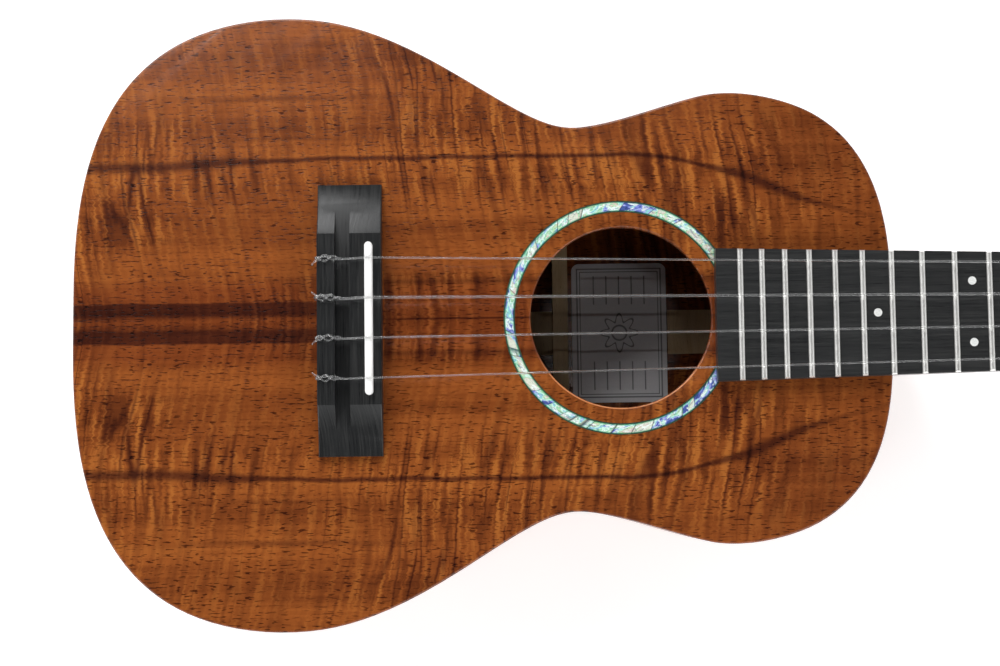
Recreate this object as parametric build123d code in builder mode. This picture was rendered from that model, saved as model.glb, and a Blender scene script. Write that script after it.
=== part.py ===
from build123d import *
import os
from math import acos, asin, atan2, cos, degrees, pi, radians, sin, sqrt, tan

# Tenor ukulele with a koa body, a tie bridge and open worm-gear tuners, in millimetres.
# +X runs along the centre line from the bridge to the head, +Y to the bass (G string) side, +Z up.
# X = 0 is the end of the open scale: the nut is one scale length ahead, and the saddle a little behind.
# Z = 0 is the outside of the flat back, on which the instrument rests.

os.makedirs("parts", exist_ok=True)

# ---------------------------------------------------------------- driving dimensions
# scale
scale_length = 431.8
fret_count = 20
joint_fret = 14
saddle_compensation = 2.4

# body outline: each half is four Bezier spans between the widest and narrowest places
body_depth = 70.0
tail_x = -114.3
lower_bout_x, lower_bout_width = -32.7, 231.5
waist_x, waist_width = 74.2, 144.9
upper_bout_x, upper_bout_width = 130.0, 170.0
joint_past_fret = 0.95
tail_handle, lower_bout_tail_handle = 35.0, 84.7
lower_bout_waist_handle, waist_lower_handle = 47.7, 23.4
waist_upper_handle, upper_bout_waist_handle = 16.4, 11.5
upper_bout_front_handle, front_handle = 68.3, 22.0

# shell
soundboard_thickness = 2.0
back_thickness = 2.2
rib_thickness = 1.8
plate_edge_radius = 0.9
soundhole_x = 91.6
soundhole_radius = 33.9
soundhole_edge_radius = 0.8

# rosette
ring_margin = 6.4
shell_ring_width = 3.3
ring_line_width = 0.5
ring_depth = 1.0
ring_hidden_length = 3.0

# inner frame
lining_width, lining_height = 5.0, 7.0
kerf_width, kerf_pitch, kerf_web = 1.0, 7.0, 1.2
neck_block_length, neck_block_width = 27.0, 58.0
tail_block_length, tail_block_width = 13.0, 52.0
inner_gap = 0.4
brace_tip_height, brace_taper_share = 2.5, 0.33
top_brace_width, top_brace_height = 6.5, 10.0
upper_top_brace_inset, lower_top_brace_x = 45.3, 40.0
fan_width, fan_height = 4.0, 5.5
fan_start_x, fan_length = 33.0, 112.0
fan_offsets, fan_splays = (-25.0, 0.0, 25.0), (-9.0, 0.0, 9.0)
bridge_plate_length, bridge_plate_width, bridge_plate_thickness = 38.0, 118.0, 2.0
back_brace_width, back_brace_height = 6.1, 9.0
lower_back_brace_x, middle_back_brace_x, upper_back_brace_inset = -28.0, 70.6, 46.3
strip_width, strip_thickness, strip_edge_thickness = 18.0, 2.4, 0.9
label_x, label_length, label_width, label_thickness = 75.6, 38.8, 57.2, 0.2

# fretboard, frets and nut
fretboard_thickness = 6.0
fretboard_tail = 9.1
fretboard_end_width = 49.6
nut_width, nut_thickness = 34.6, 5.0
fret_crown_width, fret_crown_height = 2.1, 1.0
fret_tang_width, fret_tang_depth = 0.6, 1.7
fret_end_bevel = 0.55
dot_radius, dot_depth = 1.55, 1.2
single_dots, double_dots, double_dot_offset = (5, 7, 10, 15), (12,), 11.5
side_dot_radius, side_dot_depth, side_dot_spacing = 0.8, 2.0, 6.0

# bridge and saddle
bridge_width, bridge_length = 24.0, 102.0
bridge_front_x = 2.2
bridge_height, bridge_tip_height = 7.8, 2.6
block_length = 64.0
tie_block_width, channel_width, channel_floor_height = 6.6, 5.6, 4.0
saddle_thickness, saddle_length, saddle_slot_depth = 3.0, 57.0, 4.0
saddle_crown_radius = 1.1
tie_hole_radius, tie_hole_height = 0.85, 5.9
bridge_edge_radius = 0.5

# strings, bass side first
string_names = ("g", "c", "e", "a")
string_diameters = (0.74, 1.02, 0.81, 0.69)
saddle_spread, nut_spread = 44.7, 28.4
action_at_12th = 2.3
height_over_first_fret = 0.45
string_clearance = 0.08
nut_slot_clearance, nut_slot_height = 0.40, 5.0
nut_edge_radius, nut_back_radius = 1.0, 1.6
nut_slot_share, nut_cover_share = 0.4, 0.6
wrap_turns, wrap_groove_share = 3, 0.12
last_turn = 240
tie_bend_gap, tie_edge_gap, saddle_edge_gap = 0.24, 0.8, 0.8
saddle_bend_radius, nut_bend_radius, level_run = 2.0, 5.0, 6.0

# neck
neck_depth_at_nut, neck_depth_at_heel = 13.5, 15.5
neck_fullness, neck_body_overlap = 0.62, 1.0
heel_cap_thickness, heel_cap_rise = 2.0, 0.5
heel_fullness = 0.60
bolt_radius, bolt_head_radius, bolt_head_height, bolt_height = 2.5, 5.0, 3.2, 40.0
bolt_head_edge_radius, bolt_grip_share, bolt_key_depth = 0.6, 0.8, 2.2
insert_radius, insert_length = 4.0, 13.0
# the heel, by level: (share of its height, how far it stands out, half width as a share of the neck's)
heel_levels = (
    (0.00, 16.0, 0.40),
    (0.20, 16.6, 0.45),
    (0.42, 19.0, 0.57),
    (0.60, 24.5, 0.72),
    (0.74, 34.0, 0.85),
    (0.86, 50.0, 0.95),
    (1.00, 66.0, 0.995),
)

# head
head_angle = 12.0
head_length = 135.0
head_wood_thickness, head_plate_thickness = 11.5, 1.5
head_flare_x, head_flare_width = 28.0, 57.0
head_shoulder_x, head_shoulder_width = 117.0, 64.0
head_shoulder_handle, head_corner_length, head_corner_share = 8.5, 5.5, 0.50
head_corner_handle, head_tip_handle = 9.0, 3.0
slab_overrun = 5.0
post_places, post_offset = (46.0, 92.0), 17.5

# tuners
gear_module, gear_teeth = 0.6, 14
gear_face_width = 3.0
worm_pitch_radius, worm_core_radius = 2.3, 1.5
worm_backlash, gear_backlash, worm_turns = 0.30, 0.10, 4
thread_root_depth, thread_crest_gap = 0.15, 0.05
pressure_angle = 20.0
running_clearance = 0.05
post_radius, post_waist_radius = 3.0, 2.6
post_height, post_hole_height, post_hole_radius = 12.5, 8.7, 0.8
post_waist_rise, post_flare_rise, post_crown_height = 1.2, 0.8, 0.8
wrap_top_height, string_tail = 7.7, 5.2
gear_stub_radius = 1.9
bushing_radius, bushing_depth = 4.0, 7.0
bushing_flange_radius, bushing_flange_height = 5.0, 1.4
plate_thickness, plate_margin = 1.2, 0.3
lug_thickness, lug_gap, lug_radius = 2.0, 0.9, 2.7
plate_screw_radius, plate_screw_length, plate_screw_head_radius = 1.1, 8.0, 2.1
screw_head_height, screw_slot_width, screw_slot_depth = 1.1, 0.45, 0.6
plate_end_margin, gear_screw_gap, worm_screw_gap = 0.6, 0.8, 0.6
rivet_radius, rivet_height = 2.6, 1.1
shaft_end_length = 0.8
button_length, button_width, button_thickness = 12.0, 14.0, 7.0
button_gap, button_bore_depth, button_edge_radius = 9.0, 7.2, 2.24
collar_rise, collar_wall, collar_length = 1.6, 1.3, 4.2

# ---------------------------------------------------------------- sizes worked out from them
body_front_x = scale_length * 2 ** (-joint_fret / 12) + joint_past_fret
top_z = body_depth
board_under_z = top_z - soundboard_thickness
fretboard_top_z = top_z + fretboard_thickness
fret_top_z = fretboard_top_z + fret_crown_height
nut_back_x = scale_length + nut_thickness
gear_pitch_radius = gear_module * gear_teeth / 2
worm_pitch = pi * gear_module
worm_offset = gear_pitch_radius + worm_pitch_radius
gear_outer_radius = gear_pitch_radius + gear_module
gear_root_radius = gear_pitch_radius - 1.25 * gear_module
worm_outer_radius = worm_pitch_radius + gear_module
worm_axis_depth = plate_thickness + plate_margin + worm_outer_radius
worm_length = worm_turns * worm_pitch
gear_low_z = -worm_axis_depth - gear_face_width / 2
gear_high_z = -worm_axis_depth + gear_face_width / 2
saddle_x = -saddle_compensation
tie_back_x = bridge_front_x - bridge_width
tie_front_x = tie_back_x + tie_block_width
bridge_top_z = top_z + bridge_height
fret_12_x = scale_length / 2


def fret_x(number):
    return scale_length * 2 ** (-number / 12)


fretboard_end_x = fret_x(fret_count) - fretboard_tail


def fretboard_half_width(x):
    share = (scale_length - x) / (scale_length - fretboard_end_x)
    return (nut_width + (fretboard_end_width - nut_width) * share) / 2


def string_under_z(x):
    """Height of the strings' undersides, a straight line set at the nut and at the 12th fret."""
    at_nut = fret_top_z + height_over_first_fret
    at_12th = fret_top_z + action_at_12th
    return at_nut + (at_12th - at_nut) * (scale_length - x) / (scale_length - fret_12_x)


saddle_top_z = string_under_z(saddle_x) - string_clearance
saddle_height = saddle_top_z - top_z

# the head's wood face starts behind the nut and tilts back
head_face = Plane(
    origin=(nut_back_x, 0, top_z),
    x_dir=(cos(radians(head_angle)), 0, -sin(radians(head_angle))),
    z_dir=(sin(radians(head_angle)), 0, cos(radians(head_angle))),
)


def cross_plane(x, z):
    """A plane across the neck, with its own X along +Y and its own Y up."""
    return Plane(origin=(x, 0, z), x_dir=(0, 1, 0), z_dir=(1, 0, 0))


def save(builder, name):
    builder.part.label = name
    export_step(builder.part, f"parts/{name}.step")


# ---------------------------------------------------------------- body outline
outline_spans = (
    (
        (tail_x, 0),
        (tail_x, tail_handle),
        (lower_bout_x - lower_bout_tail_handle, lower_bout_width / 2),
        (lower_bout_x, lower_bout_width / 2),
    ),
    (
        (lower_bout_x, lower_bout_width / 2),
        (lower_bout_x + lower_bout_waist_handle, lower_bout_width / 2),
        (waist_x - waist_lower_handle, waist_width / 2),
        (waist_x, waist_width / 2),
    ),
    (
        (waist_x, waist_width / 2),
        (waist_x + waist_upper_handle, waist_width / 2),
        (upper_bout_x - upper_bout_waist_handle, upper_bout_width / 2),
        (upper_bout_x, upper_bout_width / 2),
    ),
    (
        (upper_bout_x, upper_bout_width / 2),
        (upper_bout_x + upper_bout_front_handle, upper_bout_width / 2),
        (body_front_x, front_handle),
        (body_front_x, 0),
    ),
)
outline_steps = 9


def span_point(span, share, inset):
    """A point on a Bezier span, moved in towards the body by inset."""
    a, b, c, d = [Vector(*point) for point in span]
    rest = 1 - share
    place = a * rest**3 + b * (3 * share * rest**2) + c * (3 * share**2 * rest) + d * share**3
    along = (b - a) * rest**2 + (c - b) * (2 * share * rest) + (d - c) * share**2
    return place + Vector(along.Y, -along.X) * (inset / along.length)


def outline(inset=0.0):
    """The body's outline as a sketch, moved in by inset all round."""
    points = [
        span_point(span, step / outline_steps, inset)
        for span in outline_spans
        for step in range(outline_steps)
    ]
    points.append(span_point(outline_spans[-1], 1, inset))
    with BuildSketch() as shape:
        with BuildLine():
            Spline(*points, tangents=[(0, 1), (0, -1)])
            mirror(about=Plane.XZ)
        make_face()
    return shape.sketch


def rounded_rim(base_z, direction):
    """The layer that ends a plate in a quarter round, from base_z up (1) or down (-1)."""
    with BuildPart() as rim:
        for turn in (0, 30, 60, 90):
            rise = direction * plate_edge_radius * sin(radians(turn))
            with BuildSketch(Plane.XY.offset(base_z + rise)):
                add(outline(plate_edge_radius * (1 - cos(radians(turn)))))
        loft()
    return rim.part


body_outline = outline()
rib_inside = outline(rib_thickness)
lining_inside = outline(rib_thickness + lining_width)
brace_room = outline(rib_thickness + lining_width + inner_gap)


def room_half_width(x):
    """Half the width between the linings at x."""
    cut = brace_room.face().intersect(Edge.make_line((x, -lower_bout_width), (x, lower_bout_width)))
    return max(edge.bounding_box().max.Y for edge in cut)


# ---------------------------------------------------------------- soundboard and rosette
shell_ring_inner_radius = soundhole_radius + ring_margin
shell_ring_outer_radius = shell_ring_inner_radius + shell_ring_width
ring_cut_x = fretboard_end_x + ring_hidden_length


def ring_sketch(outer_radius, inner_radius):
    """A flat ring round the soundhole that ends just under the fretboard."""
    with BuildSketch(Plane.XY.offset(top_z - ring_depth)) as ring:
        with Locations((soundhole_x, 0)):
            Circle(outer_radius)
            Circle(inner_radius, mode=Mode.SUBTRACT)
        with Locations((ring_cut_x, 0)):
            Rectangle(
                2 * outer_radius,
                2 * outer_radius,
                align=(Align.MIN, Align.CENTER),
                mode=Mode.SUBTRACT,
            )
    return ring.sketch


with BuildPart() as rosette:
    add(ring_sketch(shell_ring_outer_radius, shell_ring_inner_radius))
    extrude(amount=ring_depth)
save(rosette, "rosette")

with BuildPart() as rosette_lines:
    add(ring_sketch(shell_ring_outer_radius + ring_line_width, shell_ring_outer_radius))
    add(ring_sketch(shell_ring_inner_radius, shell_ring_inner_radius - ring_line_width))
    extrude(amount=ring_depth)
save(rosette_lines, "rosette_lines")

with BuildPart() as soundboard:
    with BuildSketch(Plane.XY.offset(board_under_z)):
        add(body_outline)
    extrude(amount=soundboard_thickness - plate_edge_radius)
    add(rounded_rim(top_z - plate_edge_radius, 1))
    with BuildSketch(Plane.XY.offset(board_under_z)):
        with Locations((soundhole_x, 0)):
            Circle(soundhole_radius)
    extrude(amount=soundboard_thickness, mode=Mode.SUBTRACT)
    fillet(
        soundboard.edges().filter_by(GeomType.CIRCLE).group_by(Axis.Z)[-1],
        soundhole_edge_radius,
    )
    add(
        ring_sketch(
            shell_ring_outer_radius + ring_line_width,
            shell_ring_inner_radius - ring_line_width,
        )
    )
    extrude(amount=ring_depth, mode=Mode.SUBTRACT)
save(soundboard, "soundboard")

# ---------------------------------------------------------------- back, ribs, blocks and linings
with BuildPart() as back_plate:
    with BuildSketch(Plane.XY.offset(plate_edge_radius)):
        add(body_outline)
    extrude(amount=back_thickness - plate_edge_radius)
    add(rounded_rim(plate_edge_radius, -1))
save(back_plate, "back_plate")

rib_height = board_under_z - back_thickness
bolt_place = Plane(
    origin=(body_front_x, 0, bolt_height), x_dir=(0, 1, 0), z_dir=(1, 0, 0)
)


def make_rib(keep, name):
    with BuildPart() as rib:
        with BuildSketch(Plane.XY.offset(back_thickness)):
            add(body_outline)
            add(rib_inside, mode=Mode.SUBTRACT)
        extrude(amount=rib_height)
        with BuildSketch(bolt_place):
            Circle(bolt_radius + running_clearance)
        extrude(amount=2 * rib_thickness, both=True, mode=Mode.SUBTRACT)
        split(bisect_by=Plane.XZ, keep=keep)
    save(rib, name)


make_rib(Keep.BOTTOM, "rib_bass")
make_rib(Keep.TOP, "rib_treble")


def make_block(x, align, length, width, name, bolt_hole):
    """A solid block between the two plates, fitted to the inside of the ribs."""
    with BuildPart() as block:
        with BuildSketch(Plane.XY.offset(back_thickness)):
            with Locations((x, 0)):
                Rectangle(length, width, align=(align, Align.CENTER))
            add(rib_inside, mode=Mode.INTERSECT)
        extrude(amount=rib_height)
        if bolt_hole:
            with BuildSketch(bolt_place):
                Circle(bolt_radius + running_clearance)
            extrude(amount=-2 * length, mode=Mode.SUBTRACT)
    save(block, name)


make_block(
    body_front_x,
    Align.MAX,
    neck_block_length + rib_thickness,
    neck_block_width,
    "neck_block",
    True,
)
make_block(
    tail_x,
    Align.MIN,
    tail_block_length + rib_thickness,
    tail_block_width,
    "tail_block",
    False,
)


def kerf_cuts():
    """Thin slots square to the rib line, one every kerf_pitch, that let the lining bend."""
    path = outline(rib_thickness + lining_width).wire()
    count = int(path.length / kerf_pitch)
    with BuildSketch() as cuts:
        for index in range(count):
            place = path.location_at(index / count)
            point, along = place.position, path.tangent_at(index / count)
            turn = degrees(atan2(along.Y, along.X))
            with Locations(Location((point.X, point.Y), (0, 0, turn))):
                Rectangle(kerf_width, 2 * (lining_width - kerf_web))
    return cuts.sketch


kerfs = kerf_cuts()


def make_linings(low_z, name):
    with BuildPart() as linings:
        with BuildSketch(Plane.XY.offset(low_z)):
            add(rib_inside)
            add(lining_inside, mode=Mode.SUBTRACT)
            add(kerfs, mode=Mode.SUBTRACT)
            with Locations((body_front_x, 0)):
                Rectangle(
                    2 * (neck_block_length + rib_thickness + inner_gap),
                    neck_block_width + 2 * inner_gap,
                    mode=Mode.SUBTRACT,
                )
            with Locations((tail_x, 0)):
                Rectangle(
                    2 * (tail_block_length + rib_thickness + inner_gap),
                    tail_block_width + 2 * inner_gap,
                    mode=Mode.SUBTRACT,
                )
        extrude(amount=lining_height)
    save(linings, name)


make_linings(board_under_z - lining_height, "top_linings")
make_linings(back_thickness, "back_linings")


# ---------------------------------------------------------------- braces, patches and label
def brace_profile(half_length, glue_z, height):
    """A bar seen from the front, feathered at both tips. A height below 0 hangs down."""
    sign = 1 if height > 0 else -1
    taper = brace_taper_share * half_length
    with BuildSketch() as shape:
        with BuildLine():
            Polyline(
                (-half_length, glue_z),
                (half_length, glue_z),
                (half_length, glue_z + sign * brace_tip_height),
                (half_length - taper, glue_z + height),
                (taper - half_length, glue_z + height),
                (-half_length, glue_z + sign * brace_tip_height),
                close=True,
            )
        make_face()
    return shape.sketch


def make_brace(x, width, glue_z, height, name):
    with BuildPart() as brace:
        narrow_end = min(room_half_width(x - width / 2), room_half_width(x + width / 2))
        with BuildSketch(cross_plane(x, 0)):
            add(brace_profile(narrow_end, glue_z, height))
        extrude(amount=width / 2, both=True)
    save(brace, name)


make_brace(
    body_front_x - upper_top_brace_inset,
    top_brace_width,
    board_under_z,
    -top_brace_height,
    "upper_top_brace",
)
make_brace(
    lower_top_brace_x, top_brace_width, board_under_z, -top_brace_height, "lower_top_brace"
)

bridge_centre_x = bridge_front_x - bridge_width / 2

with BuildPart() as bridge_plate:
    with BuildSketch(Plane.XY.offset(board_under_z)):
        with Locations((bridge_centre_x, 0)):
            Rectangle(bridge_plate_length, bridge_plate_width)
    extrude(amount=-bridge_plate_thickness)
save(bridge_plate, "bridge_plate")

with BuildPart() as fan_braces:
    with BuildSketch(Plane.XY.offset(board_under_z)):
        for start, splay in zip(fan_offsets, fan_splays):
            with Locations(Location((fan_start_x, start), (0, 0, 180 - splay))):
                Rectangle(fan_length, fan_width, align=(Align.MIN, Align.CENTER))
    extrude(amount=-fan_height)
    add(bridge_plate.part, mode=Mode.SUBTRACT)
save(fan_braces, "fan_braces")

back_brace_places = (
    lower_back_brace_x,
    middle_back_brace_x,
    body_front_x - upper_back_brace_inset,
)
with BuildPart() as back_braces:
    for place in back_brace_places:
        reach = min(
            room_half_width(place - back_brace_width / 2),
            room_half_width(place + back_brace_width / 2),
        )
        with BuildSketch(cross_plane(place, 0)):
            add(brace_profile(reach, back_thickness, back_brace_height))
        extrude(amount=back_brace_width / 2, both=True)
save(back_braces, "back_braces")

strip_spans = (
    (
        tail_x + rib_thickness + tail_block_length + inner_gap,
        back_brace_places[0] - back_brace_width / 2,
    ),
    (back_brace_places[0] + back_brace_width / 2, back_brace_places[1] - back_brace_width / 2),
    (label_x + label_length + inner_gap, back_brace_places[2] - back_brace_width / 2),
)
with BuildPart() as back_strips:
    for start_x, end_x in strip_spans:
        with BuildSketch(cross_plane(start_x, back_thickness)):
            with BuildLine():
                Polyline(
                    (-strip_width / 2, 0),
                    (strip_width / 2, 0),
                    (strip_width / 2, strip_edge_thickness),
                    (0, strip_thickness),
                    (-strip_width / 2, strip_edge_thickness),
                    close=True,
                )
            make_face()
        extrude(amount=end_x - start_x)
save(back_strips, "back_centre_strips")

with BuildPart() as label:
    with BuildSketch(Plane.XY.offset(back_thickness)):
        with Locations((label_x + label_length / 2, 0)):
            RectangleRounded(label_length, label_width, 3.0)
    extrude(amount=label_thickness)
save(label, "label")

# ---------------------------------------------------------------- fretboard, frets and dots


def fretboard_plan(inset=0.0):
    end, nut = fretboard_end_width / 2 - inset, nut_width / 2 - inset
    with BuildSketch() as shape:
        with BuildLine():
            Polyline(
                (fretboard_end_x, -end),
                (scale_length, -nut),
                (scale_length, nut),
                (fretboard_end_x, end),
                close=True,
            )
        make_face()
    return shape.sketch


with BuildPart() as fret_envelope:
    with BuildSketch(Plane.XY.offset(top_z)):
        add(fretboard_plan())
    extrude(amount=fretboard_thickness)
    with BuildSketch(Plane.XY.offset(fretboard_top_z)):
        add(fretboard_plan())
    with BuildSketch(Plane.XY.offset(fret_top_z)):
        add(fretboard_plan(fret_end_bevel))
    loft()

with BuildPart() as frets:
    for number in range(1, fret_count + 1):
        with BuildSketch(Plane.XZ):
            with Locations((fret_x(number), fretboard_top_z)):
                Ellipse(fret_crown_width / 2, fret_crown_height)
                Rectangle(
                    fret_crown_width,
                    2 * fret_crown_height,
                    align=(Align.CENTER, Align.MAX),
                    mode=Mode.SUBTRACT,
                )
            with Locations((fret_x(number), fretboard_top_z)):
                Rectangle(fret_tang_width, fret_tang_depth, align=(Align.CENTER, Align.MAX))
        extrude(amount=fretboard_end_width, both=True)
    add(fret_envelope.part, mode=Mode.INTERSECT)
save(frets, "frets")

dot_places = [(fret_x(n - 0.5), 0) for n in single_dots]
dot_places += [(fret_x(n - 0.5), side * double_dot_offset) for n in double_dots for side in (1, -1)]

side_dot_places = [(fret_x(n - 0.5), 0) for n in single_dots]
side_dot_places += [
    (fret_x(n - 0.5), side * side_dot_spacing / 2) for n in double_dots for side in (1, -1)
]
edge_angle = degrees(
    atan2((fretboard_end_width - nut_width) / 2, scale_length - fretboard_end_x)
)


def side_dot_plane(x, shift):
    """A plane on the fretboard's bass edge at x, facing out."""
    place = x + shift
    return Plane(
        origin=(place, fretboard_half_width(place), fretboard_top_z - fretboard_thickness / 2),
        x_dir=(-cos(radians(edge_angle)), sin(radians(edge_angle)), 0),
        z_dir=(sin(radians(edge_angle)), cos(radians(edge_angle)), 0),
    )


with BuildPart() as position_dots:
    with BuildSketch(Plane.XY.offset(fretboard_top_z)):
        with Locations(dot_places):
            Circle(dot_radius)
    extrude(amount=-dot_depth)
save(position_dots, "position_dots")

with BuildPart() as side_dots:
    for place, shift in side_dot_places:
        with BuildSketch(side_dot_plane(place, shift)):
            Circle(side_dot_radius)
        extrude(amount=-side_dot_depth)
save(side_dots, "side_dots")

with BuildPart() as fretboard:
    with BuildSketch(Plane.XY.offset(top_z)):
        add(fretboard_plan())
    extrude(amount=fretboard_thickness)
    with BuildSketch(Plane.XY.offset(fretboard_top_z)):
        for number in range(1, fret_count + 1):
            with Locations((fret_x(number), 0)):
                Rectangle(fret_tang_width, 2 * fretboard_end_width)
    extrude(amount=-fret_tang_depth, mode=Mode.SUBTRACT)
    add(position_dots.part, mode=Mode.SUBTRACT)
    add(side_dots.part, mode=Mode.SUBTRACT)
save(fretboard, "fretboard")

# ---------------------------------------------------------------- bridge and saddle
scoop_length = (bridge_length - block_length) / 2
scoop_drop = bridge_height - bridge_tip_height
scoop_radius = (scoop_length**2 + scoop_drop**2) / (2 * scoop_drop)
saddle_spots = [
    saddle_spread * (0.5 - index / (len(string_names) - 1)) for index in range(len(string_names))
]
nut_spots = [
    nut_spread * (0.5 - index / (len(string_names) - 1)) for index in range(len(string_names))
]
tie_hole_z = top_z + tie_hole_height


with BuildPart() as bridge:
    with BuildSketch(cross_plane(tie_back_x, top_z)):
        with BuildLine():
            half, block_half = bridge_length / 2, block_length / 2
            end_angle = degrees(asin(scoop_length / scoop_radius))
            Polyline((-half, bridge_tip_height), (-half, 0), (half, 0), (half, bridge_tip_height))
            CenterArc((half, bridge_tip_height + scoop_radius), scoop_radius, 270, -end_angle)
            Line((block_half, bridge_height), (-block_half, bridge_height))
            CenterArc((-half, bridge_tip_height + scoop_radius), scoop_radius, 270, end_angle)
        make_face()
    extrude(amount=bridge_width)
    fillet(
        bridge.edges().filter_by(GeomType.CIRCLE).sort_by(Axis.X)[:2]
        + bridge.edges().filter_by(GeomType.CIRCLE).sort_by(Axis.X)[-2:],
        bridge_edge_radius,
    )
    with BuildSketch(Plane.XY.offset(top_z + channel_floor_height)):
        with Locations((tie_front_x, 0)):
            Rectangle(channel_width, bridge_length, align=(Align.MIN, Align.CENTER))
    extrude(amount=bridge_height, mode=Mode.SUBTRACT)
    with BuildSketch(Plane.XY.offset(bridge_top_z)):
        with Locations((saddle_x, 0)):
            SlotOverall(saddle_length, saddle_thickness, rotation=90)
    extrude(amount=-saddle_slot_depth, mode=Mode.SUBTRACT)
    with BuildSketch(cross_plane(tie_back_x, tie_hole_z)):
        with Locations([(spot, 0) for spot in saddle_spots]):
            Circle(tie_hole_radius)
    extrude(amount=tie_block_width, mode=Mode.SUBTRACT)
save(bridge, "bridge")

with BuildPart() as saddle:
    with BuildSketch(Plane.XY.offset(bridge_top_z - saddle_slot_depth)):
        with Locations((saddle_x, 0)):
            SlotOverall(saddle_length, saddle_thickness, rotation=90)
    extrude(amount=saddle_height - bridge_height + saddle_slot_depth)
    fillet(saddle.faces().sort_by(Axis.Z)[-1].edges(), saddle_crown_radius)
save(saddle, "saddle")

# ---------------------------------------------------------------- tuner places
# Each tuner has its own frame on the head's back face under its post.
# Its X points out to the button's side, and its Z along the post.
head_back_z = -head_wood_thickness
face_z = head_plate_thickness + head_wood_thickness
tuner_spots = {
    "g": (post_places[0], 1),
    "c": (post_places[1], 1),
    "e": (post_places[1], -1),
    "a": (post_places[0], -1),
}


def tuner_frame(name):
    place, side = tuner_spots[name]
    origin = head_face.from_local_coords(Vector(place, side * post_offset, head_back_z))
    return Plane(origin=origin, x_dir=(0, side, 0), z_dir=head_face.z_dir)


def side_of(name):
    return tuner_spots[name][1]


def at_tuner(frame, x=0.0, y=0.0, z=0.0, x_dir=(1, 0, 0), z_dir=(0, 0, 1)):
    """A plane given in a tuner's own frame, as a plane in the model's frame."""
    return Plane(
        origin=frame.from_local_coords(Vector(x, y, z)),
        x_dir=frame.from_local_coords(Vector(x_dir)) - frame.origin,
        z_dir=frame.from_local_coords(Vector(z_dir)) - frame.origin,
    )


plate_half_length = worm_length / 2 + lug_gap + lug_thickness
plate_screw_spots = (
    -(gear_outer_radius + plate_screw_head_radius + gear_screw_gap),
    worm_offset + worm_outer_radius + plate_screw_head_radius + worm_screw_gap,
)

# ---------------------------------------------------------------- neck
heel_x = body_front_x
heel_back_x = heel_x - neck_body_overlap
trim_start_x = heel_x - 2 * neck_body_overlap
heel_low_z = heel_cap_rise + heel_cap_thickness
heel_height = top_z - heel_low_z
shaft_plane_places = (heel_back_x, (heel_x + scale_length) / 2, nut_back_x)


def rounded_section(half_width, depth, fullness):
    """Flat on top, rounded below: the neck's section, from a half ellipse to nearly square."""
    with BuildSketch() as shape:
        with BuildLine():
            Line((-half_width, 0), (half_width, 0))
            Bezier(
                (half_width, 0),
                (half_width, -fullness * depth),
                (fullness * half_width, -depth),
                (0, -depth),
            )
            Bezier(
                (0, -depth),
                (-fullness * half_width, -depth),
                (-half_width, -fullness * depth),
                (-half_width, 0),
            )
        make_face()
    return shape.sketch


def neck_half_width(x):
    return fretboard_half_width(min(x, scale_length))


def neck_depth(x):
    share = (x - heel_x) / (nut_back_x - heel_x)
    return neck_depth_at_heel + (neck_depth_at_nut - neck_depth_at_heel) * share


with BuildPart() as shaft:
    for place in shaft_plane_places:
        with BuildSketch(cross_plane(place, top_z)):
            add(rounded_section(neck_half_width(place), neck_depth(place), neck_fullness))
    loft()



def heel_section(reach, half_width):
    with BuildSketch() as shape:
        with BuildLine():
            Line((heel_back_x, -half_width), (heel_back_x, half_width))
            Bezier(
                (heel_back_x, half_width),
                (heel_x + heel_fullness * reach, half_width),
                (heel_x + reach, heel_fullness * half_width),
                (heel_x + reach, 0),
            )
            Bezier(
                (heel_x + reach, 0),
                (heel_x + reach, -heel_fullness * half_width),
                (heel_x + heel_fullness * reach, -half_width),
                (heel_back_x, -half_width),
            )
        make_face()
    return shape.sketch


with BuildPart() as heel:
    for share, reach, width_share in heel_levels:
        with BuildSketch(Plane.XY.offset(heel_low_z + share * heel_height)):
            add(heel_section(reach, width_share * neck_half_width(heel_x)))
    loft()

with BuildPart() as body_room:
    add(body_outline)
    extrude(amount=body_depth)


def head_outline():
    flare, shoulder = head_flare_width / 2, head_shoulder_width / 2
    with BuildSketch() as shape:
        with BuildLine():
            Bezier(
                (0, nut_width / 2),
                (0.55 * head_flare_x, nut_width / 2),
                (0.45 * head_flare_x, flare),
                (head_flare_x, flare),
            )
            Line((head_flare_x, flare), (head_shoulder_x, shoulder))
            Bezier(
                (head_shoulder_x, shoulder),
                (head_shoulder_x + head_shoulder_handle, shoulder + 0.3),
                (head_length - head_corner_handle, 0.78 * shoulder),
                (head_length - head_corner_length, head_corner_share * shoulder),
            )
            Bezier(
                (head_length - head_corner_length, head_corner_share * shoulder),
                (head_length - head_tip_handle, 0.30 * shoulder),
                (head_length, 0.20 * shoulder),
                (head_length, 0),
            )
            mirror(about=Plane.XZ)
            Line((0, -nut_width / 2), (0, nut_width / 2))
        make_face()
    return shape.sketch


post_spots = [(x, side * post_offset) for side in (1, -1) for x in post_places]
# The head is its outline cut from a slab whose underside grows from the neck's round to flat.
# Each level is (place along the head, half width, depth, fullness), and the slab is wider than the outline.
slab_half_width = 3 * head_shoulder_width
head_levels = (
    (0.0, nut_width / 2, neck_depth_at_nut, neck_fullness),
    (
        0.4 * head_flare_x,
        0.8 * nut_width,
        0.4 * neck_depth_at_nut + 0.6 * head_wood_thickness,
        0.8,
    ),
    (0.95 * head_flare_x, slab_half_width, head_wood_thickness, 1.0),
    (head_length + slab_overrun, slab_half_width, head_wood_thickness, 1.0),
)

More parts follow.
